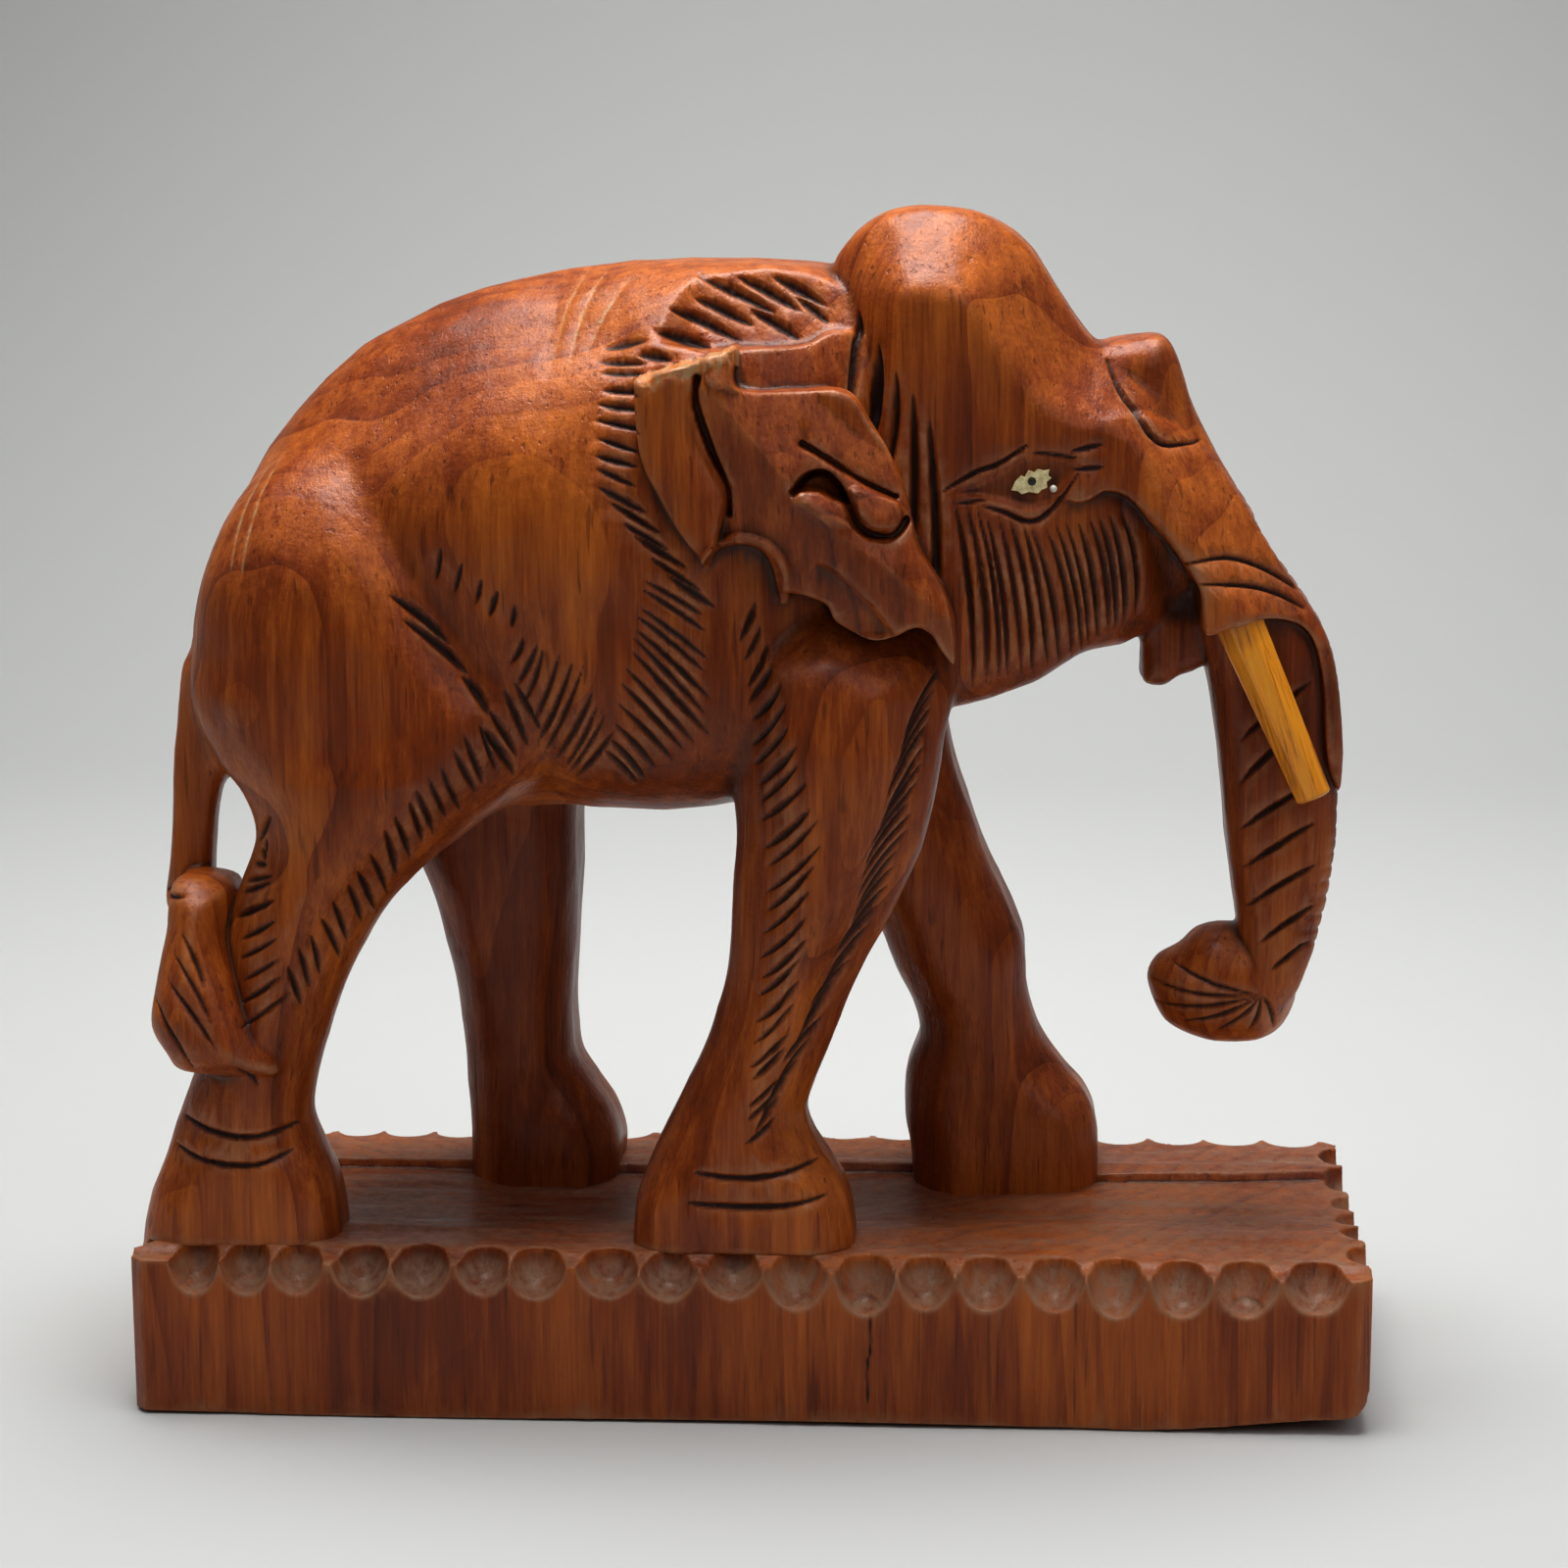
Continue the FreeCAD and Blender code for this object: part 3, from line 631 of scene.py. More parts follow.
def carveSide(cuts, seed):
    # body
    cuts.row([(-17.5, 133), (-11.5, 133.6)], [(-17.5, 119), (-12.4, 117)], 9, 1.2, 0.6, seed=seed + 1)
    cuts.row([(-17.5, 117), (-11.5, 113.5)], [(-9.5, 106.5), (-3.5, 102)], 6, 1.4, 0.8, seed=seed + 2)
    cuts.strokes([(-6.6, 141.4, 3.6, 136.6), (-1.6, 141.2, 6.6, 136.8), (2.6, 141.2, 9.6, 137.4),
                  (-6.6, 138.6, 0.8, 135.2), (-9.6, 137.6, -0.6, 133.4), (0.2, 137.2, 6.4, 133.6),
                  (-11.4, 135, -4.2, 132.6), (-13, 132, -8.6, 131.6), (5.8, 138.6, 10, 135.4)],
                 1.7, 0.9, 0.2)
    cuts.row([(-36.5, 109), (-37.2, 105)], [(-27.6, 102.4), (-28.4, 99.2)], 5, 1.1, 0.6, seed=seed + 5)
    cuts.row([(-27, 98.6), (-28.6, 94.6)], [(-15.6, 87), (-21, 79.6)], 10, 1.0, 0.55, 0.3, seed=seed + 6,
             middle=[(-19.6, 95.6), (-25, 83.6)])
    cuts.row([(-12, 105.4), (-4.5, 101)], [(-17.2, 84.2), (-13.6, 79.6)], 13, 1.2, 0.65, 0.2, seed=seed + 7,
             middle=[(-14, 97), (-4, 86)])
    cuts.strokes([(-43, 103.5, -36, 97), (-41.5, 100.5, -33.5, 93.2), (-34.5, 93.5, -31, 88.5),
                  (-32, 87.5, -28.5, 80.5)], 1.5, 0.9, 0.4)
    # scratches left in the varnish
    cuts.strokes([(-20.5, 142, -23.5, 130.5), (-18, 142, -21.5, 130.5), (-14.5, 141, -19.5, 131.5),
                  (-58, 119.5, -61.5, 103.5), (-60, 118, -63, 105)], 0.6, 0.12, -0.8, dark=-0.8)
    # near fore leg: two rows that meet in a herringbone
    cuts.row([(1.8, 102.5), (-0.2, 97.5)], [(3.6, 38), (-0.4, 34.5)], 25, 1.1, 0.65, 0.2, seed=seed + 8,
             middle=[(9.8, 74), (2.6, 67)])
    cuts.row([(23.8, 94), (19.6, 85)], [(4.2, 41), (1, 36)], 24, 1.1, 0.65, -0.2, seed=seed + 9,
             middle=[(18.5, 68.5), (12.4, 61)])
    # near hind leg
    cuts.row([(-28, 93), (-25, 86)], [(-57, 57), (-56, 51)], 20, 1.1, 0.65, 0.2, seed=seed + 11,
             middle=[(-42, 77.5), (-41, 71)])
    cuts.row([(-58.6, 75.5), (-60.6, 71.6)], [(-62.6, 49), (-56.6, 53.4)], 12, 1.1, 0.6, seed=seed + 12,
             middle=[(-63.8, 64), (-58, 67)])
    # lines over the toes
    cuts.path([(-71.5, 36.4), (-67, 35.4), (-62, 34.8), (-56.6, 35.8)], 1.2, 0.8)
    cuts.path([(-72.5, 33), (-67.5, 31.6), (-62, 31.2), (-57, 32.8)], 1.2, 0.8)
    cuts.path([(-6.5, 31.2), (-1.5, 30.6), (3.5, 31), (9, 32.2)], 1.2, 0.8)
    cuts.path([(-7.4, 27.4), (-2, 26.9), (4, 27), (10.4, 28.2)], 1.2, 0.8)
    # tuft of the tail
    cuts.strokes([(-72, 55.5, -65.5, 47), (-71, 58.5, -66, 50), (-74, 53, -68.5, 43.5),
                  (-75, 48, -71, 42), (-70, 61, -67, 54), (-63.5, 44.5, -61, 41.5)], 0.9, 0.5, 0.4)
    cuts.path([(-75.2, 63.6), (-72.5, 64.6), (-69.8, 65.2)], 0.9, 0.6)


def carveHead(cuts, seed):
    # side of the head behind the cheek
    cuts.strokes([(13.6, 137, 12.4, 124.6), (15.9, 133.4, 15.2, 121), (18.2, 130, 17.2, 117),
                  (20.2, 127.6, 20.2, 107), (22.2, 124.6, 23.4, 101)], 1.7, 1.3, 0.3)
    # cheek
    cuts.row([(25.2, 114.6), (27.6, 90.6)], [(45.6, 112.8), (47.8, 99)], 16, 1.1, 0.75, 0.9, seed=seed + 13,
             middle=[(35.6, 110.8), (39.2, 93.8)], stray=0.15)
    # painted shade: the recess between the last cheek cuts and the trunk is darkened as well as sunk
    cuts.area([(48, 113.4), (50, 110.2), (52.9, 106.8), (55.4, 102.4), (56.6, 98), (52.5, 96.6), (49.6, 99),
               (48.4, 106)], 0.5, 3.0, dark=0.55)
    # eye: the ground sinks between two lid cuts
    cuts.area([(25, 115.2), (29, 117.6), (34, 120.2), (37.6, 120.6), (41, 118.6), (38.6, 114.4),
               (35, 112.6), (30.6, 113.6)], 0.5, 1.6)
    cuts.path([(23.8, 115.4), (28, 117.8), (30.8, 118.8), (34.4, 121.2)], 0.9, 0.8)
    cuts.path([(34.6, 120.2), (37.6, 119.8), (40.4, 119.3)], 0.8, 0.7)
    cuts.path([(28.8, 113.7), (31.4, 112.9), (34.7, 111.7), (37.6, 113.4), (40.6, 117.8)], 0.9, 0.85)
    cuts.stroke((39.2, 120.1), (43.4, 121), 0.9, 0.7)
    cuts.stroke((39.6, 117.9), (43.6, 118.2), 0.9, 0.7)
    cuts.stroke((25, 113.8), (30, 114.6), 0.7, 0.4)
    cuts.path([(36.6, 118.6), (37.5, 117.2), (37.2, 115.6), (36.2, 114.6)], 1.3, 0.6)
    cuts.path([(31.4, 115.4), (33.4, 114.4), (35.6, 114.2)], 0.8, 0.4)
    # bump on the brow and lines over the root of the trunk
    cuts.path([(43.8, 131), (45.8, 126.7), (47.9, 124.1), (49.4, 121.9), (51.6, 120.6),
               (55.8, 120.8)], 1.0, 0.9)
    cuts.path([(53.3, 106.3), (58.8, 106.9), (64.1, 105), (69.4, 101.6)], 0.9, 0.7)
    cuts.path([(55.3, 103.9), (60.3, 103.6), (65.1, 102.3), (69, 100)], 0.9, 0.7)
    # trunk
    cuts.strokes([(61.5, 90, 69, 85), (61, 83, 70, 91), (61, 77.5, 67, 83.5), (61, 71.5, 70.5, 78),
                  (61.5, 66.5, 71, 73), (62, 61.5, 71.2, 67.6), (64, 57, 71.2, 62.2),
                  (65.5, 53.5, 70.8, 57.2)], 1.1, 0.8, 0.2)
    for k in range(7):
        angle = math.radians(150 + 22 * k)
        far = 9.5 + 2.2 * math.cos(angle * 2)
        end = (64.4 + far * 1.25 * math.cos(angle), 50.4 + far * 0.72 * math.sin(angle))
        cuts.stroke((64.4, 50.4), end, 0.9, 0.5, 0.5)


def neighbourMean(points, quads):
    total = np.zeros_like(points)
    for k in range(4):
        here, following = quads[:, k], quads[:, (k + 1) % 4]
        for axis in range(3):
            total[:, axis] += np.bincount(here, points[following, axis], len(points))
            total[:, axis] += np.bincount(following, points[here, axis], len(points))
    count = np.bincount(quads.ravel(), minlength=len(points)) * 2.0
    return total / count[:, None]


def bulge(points, quads, rounds):
    # how far each point stands proud of its smoothed surroundings, in mm
    normal = surfaceNormals(points, quads)
    smooth = points.copy()
    for k in range(rounds):
        smooth += 0.7 * (neighbourMean(smooth, quads) - smooth)
    return ((points - smooth) * normal).sum(1)


surfaceWork = {
    "lumps": ((17, 17, 21), 0.45, (7, 7, 9), 0.2),   # mm across and mm high, broad ones then small ones
    "facet": (6.5, 6.5, 10),
    "facetDeep": 0.42,
    "lumpDeep": 0.3,
    "eyeAt": (35, 116.5),
    "calm": (5, 10),             # no facets this near to the eye
    "headFrom": 11,
    "headReach": 19.4,           # the cuts on the head stop short of the ears
    "breakOut": 21,              # the broken top of the near ear
    "breakAlong": (-12.5, -0.6),
    "breakLevel": 130.0,
    "notchAlong": 55,            # small notches down the front of the trunk
    "notchUp": (55, 116),
    "notchReach": 7.6,
    "notchPitch": 1.9,
    "notchDeep": 0.28,
}

print("knife work")
facing = surfaceNormals(points, quads)
alongX, outY, upZ = points.T
broad, broadHigh, small, smallHigh = surfaceWork["lumps"]
lumps = broadHigh * softNoise(points, broad, 3) + smallHigh * softNoise(points, small, 4)
facets = knifeFacets(points, surfaceWork["facet"], 11)
toEye = np.hypot(alongX - surfaceWork["eyeAt"][0], upZ - surfaceWork["eyeAt"][1])
nearEye = 1 - smoothStep(toEye, *surfaceWork["calm"])
depth = (surfaceWork["facetDeep"] * (0.35 - facets) - surfaceWork["lumpDeep"] * lumps) * (1 - nearEye)
dark = np.zeros(len(points))
pale = np.zeros(len(points))
everywhere = np.ones(len(points), bool)
onHead = (alongX > surfaceWork["headFrom"]) & (np.abs(outY) < surfaceWork["headReach"])
for side, seed in ((-1, 100), (1, 500)):
    cuts = SideCuts(points, facing[:, 1], side, everywhere)
    carveSide(cuts, seed)
    headCuts = SideCuts(points, facing[:, 1], side, onHead)
    carveHead(headCuts, seed)
    for made in (cuts, headCuts):
        depth[made.chosen] += made.depth
        dark[made.chosen] = np.maximum(dark[made.chosen], made.dark)
        pale[made.chosen] = np.maximum(pale[made.chosen], made.pale)
first, last = surfaceWork["breakAlong"]
brokenTop = (outY < -surfaceWork["breakOut"]) & (alongX > first) & (alongX < last)
ragged = 0.9 * softNoise(points, (1.1, 1.1, 1.6), 17)
brokenTop &= upZ > surfaceWork["breakLevel"] + 0.25 * (alongX + 6) + ragged
depth[brokenTop] += 0.5 * softNoise(points[brokenTop], (0.9, 0.9, 2.2), 18)
pale = np.maximum(pale, brokenTop * 0.9)
first, last = surfaceWork["notchUp"]
alongTrunk = (facing[:, 0] > 0.35) & (alongX > surfaceWork["notchAlong"]) & (upZ > first) & (upZ < last)
alongTrunk &= np.abs(outY) < surfaceWork["notchReach"]
wavy = upZ + 0.6 * softNoise(points, (30, 30, 4), 15)
notch = np.abs((wavy / surfaceWork["notchPitch"]) % 1 - 0.5) * 2
strong = 0.5 + softNoise(points, (9, 9, 9), 16)
depth[alongTrunk] += (surfaceWork["notchDeep"] * np.clip(notch * 1.6 - 0.9, 0, 1) * strong)[alongTrunk]
points = points - facing * depth[:, None]
proud = np.clip(bulge(points, quads, 14) / 0.25, -1, 1)
hollowed = np.clip(bulge(points, quads, 60) / 0.9, -1, 1)
print("cuts made")


def makePiece(name, points, faces, marks=None):
    mesh = bpy.data.meshes.new(name)
    mesh.from_pydata([], [], [])
    mesh.vertices.add(len(points))
    mesh.vertices.foreach_set("co", (points * mm).astype(np.float32).ravel())
    corners = faces.shape[1]
    mesh.loops.add(len(faces) * corners)
    mesh.loops.foreach_set("vertex_index", faces.astype(np.int32).ravel())
    mesh.polygons.add(len(faces))
    mesh.polygons.foreach_set("loop_start", (np.arange(len(faces)) * corners).astype(np.int32))
    for word, values in (marks or {}).items():
        layer = mesh.attributes.new(word, "FLOAT", "POINT")
        layer.data.foreach_set("value", values.astype(np.float32))
    mesh.update()
    mesh.validate()
    mesh.polygons.foreach_set("use_smooth", np.ones(len(mesh.polygons), bool))
    piece = bpy.data.objects.new(name, mesh)
    bpy.context.scene.collection.objects.link(piece)
    return piece


def thinOut(piece, faces):
    # fewer faces where the surface is plain, with the cut edges kept
    have = len(piece.data.polygons) * 2
    modifier = piece.modifiers.new("thinOut", "DECIMATE")
    modifier.ratio = min(1.0, faces / have)
    graph = bpy.context.evaluated_depsgraph_get()
    thinned = bpy.data.meshes.new_from_object(piece.evaluated_get(graph))
    piece.modifiers.clear()
    piece.data = thinned
    print(piece.name, "thinned from", have, "to", len(thinned.polygons), "faces")


marks = {"cutStainAndShade": dark, "proud": proud, "hollowed": hollowed, "paleWood": pale}
elephant = makePiece("elephantCarving", points, quads[:, ::-1], marks)
thinOut(elephant, sculpt["faces"])


class Nodes:
    # short ways to add and join shader nodes
    def __init__(self, name):
        self.material = bpy.data.materials.new(name)
        self.material.use_nodes = True
        self.tree = self.material.node_tree
        self.shader = self.tree.nodes["Principled BSDF"]

    def add(self, kind, settings=None, **inputs):
        node = self.tree.nodes.new(kind)
        for word, value in (settings or {}).items():
            setattr(node, word, value)
        for word, value in inputs.items():
            self.feed(node, int(word[1:]) if word[1:].isdigit() else word, value)
        return node

    def feed(self, node, socket, value):
        if isinstance(value, bpy.types.NodeSocket):
            self.tree.links.new(value, node.inputs[socket])
        elif isinstance(value, bpy.types.Node):
            self.tree.links.new(value.outputs[0], node.inputs[socket])
        else:
            node.inputs[socket].default_value = value

    def sums(self, operation, a, b=0.0, c=0.0):
        return self.add("ShaderNodeMath", {"operation": operation}, _0=a, _1=b, _2=c).outputs[0]

    def times(self, a, b):
        return self.sums("MULTIPLY", a, b)

    def plus(self, a, b):
        return self.sums("ADD", a, b)

    def noise(self, place, scale, detail=3.0, rough=0.5):
        given = {"Vector": place, "Scale": scale, "Detail": detail, "Roughness": rough}
        return self.add("ShaderNodeTexNoise", None, **given).outputs[0]

    def stretch(self, place, scale):
        return self.add("ShaderNodeMapping", None, Vector=place, Scale=scale).outputs[0]

    def ramp(self, value, stops):
        node = self.add("ShaderNodeValToRGB", None, Fac=value)
        ends = node.color_ramp.elements
        while len(ends) < len(stops):
            ends.new(0.5)
        for end, (place, colour) in zip(ends, stops):
            end.position = place
            end.color = (*colour, 1)
        return node.outputs[0]

    def levels(self, value, low, high, toLow=0.0, toHigh=1.0):
        node = self.add("ShaderNodeMapRange", {"clamp": True}, Value=value)
        for word, number in (("From Min", low), ("From Max", high), ("To Min", toLow), ("To Max", toHigh)):
            self.feed(node, word, number)
        return node.outputs[0]

    def mix(self, share, a, b, way="MIX"):
        node = self.add("ShaderNodeMix", {"data_type": "RGBA", "blend_type": way})
        self.feed(node, 0, share)
        self.feed(node, 6, a)
        self.feed(node, 7, b)
        return node.outputs[2]

    def mark(self, name):
        return self.add("ShaderNodeAttribute", {"attribute_name": name}).outputs["Fac"]


woodLook = {
    "light": (0.58, 0.165, 0.021),
    "middle": (0.268, 0.051, 0.0056),
    "dark": (0.090, 0.0145, 0.0018),
    # cut is the dark of stain in the knife cuts; it is also the colour of the painted shade in hollows and
    # creases
    "cut": (0.016, 0.003, 0.0012),
    "worn": (0.46, 0.21, 0.10),
    "bare": (0.52, 0.33, 0.17),
    # this dust colour is also painted light in the scoops of the base, which are paler lower down
    "dustAndScoopLight": (0.36, 0.235, 0.17),
    "pith": (-0.012, 0.060, 0.0),   # where the middle of the tree would stand, in metres
    "ringSpacing": 330.0,
    "roughness": 0.36,
    "varnish": 0.14,
    "varnishRoughness": 0.22,
    "sheen": 0.28,
}


def woodMaterial(name, dusty, depth=1.0):
    n = Nodes(name)
    place = n.add("ShaderNodeTexCoord").outputs["Object"]
    slow = n.stretch(place, (1, 1, 0.25))
    wander = n.add("ShaderNodeTexNoise", None, Vector=slow, Scale=26.0, Detail=2.0)
    bent = n.add("ShaderNodeVectorMath", {"operation": "MULTIPLY_ADD"})
    n.feed(bent, 0, wander.outputs["Color"])
    n.feed(bent, 1, (0.016, 0.016, 0.0))
    n.feed(bent, 2, place)
    centred = n.add("ShaderNodeVectorMath", {"operation": "SUBTRACT"})
    n.feed(centred, 0, bent)
    n.feed(centred, 1, woodLook["pith"])
    flat = n.stretch(centred.outputs[0], (1, 1, 0.045))
    far = n.add("ShaderNodeVectorMath", {"operation": "LENGTH"}, _0=flat).outputs["Value"]
    turns = n.times(far, woodLook["ringSpacing"])
    ring = n.sums("FRACT", turns)
    ringShade = n.levels(ring, 0.15, 1.0)
    ringShade = n.sums("POWER", ringShade, 2.2)
    whichRing = n.noise(n.add("ShaderNodeCombineXYZ", None, X=n.sums("FLOOR", turns)).outputs[0], 0.83, 0)
    fibre = n.noise(n.stretch(place, (1, 1, 0.045)), 2600.0, 3.0, 0.65)
    streak = n.noise(n.stretch(place, (1, 1, 0.06)), 520.0, 4.0, 0.6)
    cloud = n.noise(n.stretch(place, (1, 1, 0.5)), 32.0, 3.0, 0.55)
    pores = n.levels(n.noise(n.stretch(place, (1, 1, 0.05)), 1500.0, 1.0, 0.4), 0.66, 0.74)
    tone = n.plus(n.times(streak, 0.42), n.sums("MULTIPLY_ADD", cloud, 0.68, -0.10))
    tone = n.plus(tone, n.times(fibre, 0.24))
    tone = n.sums("SUBTRACT", tone, n.times(ringShade, n.levels(whichRing, 0.3, 0.7, 0.02, 0.14)))
    colour = n.ramp(tone, [(0.28, woodLook["dark"]), (0.50, woodLook["middle"]), (0.74, woodLook["light"])])
    colour = n.mix(n.times(pores, 0.45), colour, (*woodLook["dark"], 1))
    cut = n.mark("cutStainAndShade")
    proud = n.mark("proud")
    hollow = n.mark("hollowed")
    # painted shade: the hollows of the carving (hollowed below zero) are darkened towards the cut colour;
    # on the plinth it is left only where there is no scoop dust, at the upper part of each scoop
    sunk = n.levels(hollow, -0.05, -0.75)
    if dusty:
        sunk = n.times(sunk, n.sums("SUBTRACT", 1.0, n.mark("scooped")))
    colour = n.mix(n.times(sunk, 0.72), colour, (*woodLook["cut"], 1))
    # painted shade: small creases, where proud is below zero, are darkened towards the cut colour
    colour = n.mix(n.times(n.levels(proud, -0.08, -0.6), 0.55), colour, (*woodLook["cut"], 1))
    # the cut mark is stain in the knife cuts, with painted shade in the recess beside the trunk
    colour = n.mix(n.times(cut, 0.9), colour, (*woodLook["cut"], 1))
    bare = n.mix(n.levels(n.noise(n.stretch(place, (1, 1, 0.15)), 1300.0, 3.0), 0.35, 0.62),
                 (*woodLook["light"], 1), (*woodLook["bare"], 1))
    colour = n.mix(n.mark("paleWood"), colour, bare)
    patchy = n.noise(place, 210.0, 4.0, 0.7)
    worn = n.times(n.levels(proud, 0.22, 0.8), n.levels(patchy, 0.34, 0.6))
    colour = n.mix(n.times(worn, 0.85), colour, (*woodLook["worn"], 1))
    if dusty:
        upward = n.add("ShaderNodeSeparateXYZ", None, _0=n.add("ShaderNodeNewGeometry").outputs["Normal"])
        lying = n.levels(upward.outputs["Z"], 0.55, 0.95)
        drift = n.noise(n.stretch(place, (0.12, 1, 1)), 420.0, 4.0, 0.6)
        dustAndScoopLight = n.times(lying, n.levels(drift, 0.3, 0.7))
        # the scooped mark is dust with painted light: it makes each scoop paler lower down
        dustAndScoopLight = n.sums("MAXIMUM", dustAndScoopLight, n.mark("scooped"))
        grime = n.levels(n.noise(n.stretch(place, (1, 1, 0.4)), 620.0, 4.0, 0.7), 0.34, 0.64, 0.22, 0.92)
        colour = n.mix(n.times(dustAndScoopLight, grime), colour, (*woodLook["dustAndScoopLight"], 1))
        dull = n.times(dustAndScoopLight, 0.35)
    else:
        dull = 0.0
    if depth != 1.0:
        colour = n.mix(1.0, colour, (depth, depth * 0.92, depth * 0.82, 1), "MULTIPLY")
    n.feed(n.shader, "Base Color", colour)
    smear = n.noise(place, 95.0, 4.0, 0.65)
    rough = n.levels(smear, 0.3, 0.75, woodLook["roughness"] - 0.07, woodLook["roughness"] + 0.14)
    rough = n.plus(n.sums("MULTIPLY_ADD", cut, 0.25, rough), dull)
    n.feed(n.shader, "Roughness", rough)
    n.shader.inputs["Coat Weight"].default_value = woodLook["varnish"]
    n.shader.inputs["Coat Roughness"].default_value = woodLook["varnishRoughness"]
    n.shader.inputs["Specular IOR Level"].default_value = woodLook["sheen"]
    scratch = n.noise(n.stretch(place, (0.3, 1, 1)), 900.0, 3.0, 0.6)
    relief = n.plus(n.times(fibre, 0.35), n.times(n.noise(place, 330.0, 4.0, 0.6), 0.9))
    relief = n.plus(relief, n.times(scratch, 0.2))
    relief = n.sums("SUBTRACT", relief, n.times(pores, 0.25))
    bump = n.add("ShaderNodeBump", None, Height=relief, Strength=0.7, Distance=0.0004)
    n.feed(n.shader, "Normal", bump)
    return n.material


print("mixing the wood")
carvedWood = woodMaterial("carvedWood", False)
plinthWood = woodMaterial("plinthWood", True, 0.82)
elephant.data.materials.append(carvedWood)
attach(elephant, "root")
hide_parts("carved_elephant")


plinthLook = {
    "low": (-78.4, -29.8, -0.8),
    "high": (78.4, 29.8, 23.2),
    "half": (77.3, 28.8),
    "top": 21.5,
    "chiselled": 1.3,      # how much lower the top is in front of the strip along its back
    "stripFrom": 13,
    "ledge": 1.0,          # rise of the top under the near feet
    "corner": 1.6,
    "endRound": 3.2,       # the lower corner at the trunk's end is rounded off
    "underCut": 1.9,
    "frontGouges": [-69, -62.5, -56, -48, -40.5, -32.5, -26, -17, -9.5, -1.5, 6.5, 15, 22.5, 30, 38.5, 46,
                    54, 62, 70.5],
    "gougeShare": 0.247,   # half of a gouge's width, as a share of the way between its neighbours
    "backPitch": 7.4,
    "faces": 110000,
}


def plinthForm():
    layGrid(np.array(plinthLook["low"], np.float32), plinthLook["high"])
    w, d = plinthLook["half"]
    x, y, z = gridX[:, None, None], gridY[None, :, None], gridZ[None, None, :]
    sideways = np.maximum(np.abs(x) - w, np.abs(y) - d)
    corner = (np.abs(x) - w + np.abs(y) - d + plinthLook["corner"]) / math.sqrt(2)
    sideways = np.maximum(sideways, corner)
    # the top is chiselled lower except for a strip along the back
    wholeX = np.repeat(gridX, len(gridY))
    flat = np.stack([wholeX, np.tile(gridY, len(gridX)), np.zeros(len(wholeX))], 1)
    streaks = softNoise(flat, (22, 2.6, 5), 21).reshape(len(gridX), -1)
    broad = softNoise(flat, (30, 12, 5), 22).reshape(len(gridX), -1)
    stripEdge = plinthLook["stripFrom"] + 1.2 * np.sin(gridX / 11.0)
    strip = smoothStep(gridY[None, :], stripEdge[:, None], stripEdge[:, None] + 0.7)
    ledge = smoothStep(gridY, -26.6, -24.2) * smoothStep(-gridY, 2, 15)
    topHeight = (plinthLook["top"] - plinthLook["chiselled"] + plinthLook["chiselled"] * strip
                 + plinthLook["ledge"] * ledge[None, :] + 0.22 * streaks + 0.3 * broad - 0.3)
    bend = plinthLook["endRound"]
    rounded = bend - np.sqrt(np.maximum(bend ** 2 - np.maximum(gridX - (w - bend), 0) ** 2, 0))
    lifted = plinthLook["underCut"] * smoothStep(gridX, 48, 76) + rounded
    underHeight = lifted[:, None] * smoothStep(-gridY, 5, 29)[None, :]
    underHeight = underHeight + 0.2 + 0.2 * np.sin(gridX / 17 + 1)[:, None]
    field = np.maximum(np.maximum(z - topHeight[:, :, None], underHeight[:, :, None] - z), sideways)
    field = field.astype(np.float32)
    scooped = []
    rng = np.random.RandomState(8)

    def scoop(x, y, sizes, up):
        # a scoop struck down over an edge of the top: upright at its back, turning out at its foot
        centre = (x, y, plinthLook["top"] + up)
        window, hollow = ball(centre, sizes)
        blendOut(field, window, hollow, 0.12)
        scooped.append((np.array(centre), np.array(sizes)))

    gouges = plinthLook["frontGouges"]
    for k, at in enumerate(gouges):
        before, after = gouges[max(k - 1, 0)], gouges[min(k + 1, len(gouges) - 1)]
        wide = plinthLook["gougeShare"] * (after - before) * (2 if k in (0, len(gouges) - 1) else 1)
        back, tall = rng.uniform(5.0, 5.8), rng.uniform(5.2, 6.0) + 0.9 * (at > 0)
        scoop(at, -d - 0.2, (wide, back, tall), rng.uniform(-0.4, 0.2))
    at = -w + 5
    while at < w - 3:
        scoop(at, d + 0.6, (rng.uniform(3.5, 4.0), 3.6, rng.uniform(3.8, 4.6)), rng.uniform(0.6, 1.4))
        at += plinthLook["backPitch"] * rng.uniform(0.9, 1.12)
    for end in (-1, 1):
        for k in range(6):
            at = -21 + 8.4 * k + rng.uniform(-0.7, 0.7)
            scoop(end * (w + 0.6), at, (3.4, rng.uniform(3.6, 4.1), 4.6), rng.uniform(-0.2, 0.6))
    return field, scooped


print("sawing the base")
field, scooped = plinthForm()
points, quads = meshOf(field)
facing = surfaceNormals(points, quads)
waves = 0.16 * softNoise(points, (9, 9, 30), 31) + 0.08 * softNoise(points, (2.2, 2.2, 16), 32)
depth = waves * (np.abs(facing[:, 2]) < 0.7)
dark = np.zeros(len(points))
cuts = SideCuts(points, facing[:, 1], -1, np.ones(len(points), bool))
cuts.path([(15.4, 15.5), (15.8, 11), (15.2, 7), (15.6, 1.5)], 0.45, 0.5)
depth[cuts.chosen] += cuts.depth
dark[cuts.chosen] = cuts.dark
points = points - facing * depth[:, None]
scoopDustAndLight = np.zeros(len(points))
for centre, sizes in scooped:
    away = (np.sqrt((((points - centre) / sizes) ** 2).sum(1)) - 1) * sizes.min()
    scoopDustAndLight = np.maximum(scoopDustAndLight, np.clip(1.3 - np.abs(away) / 0.25, 0, 1))
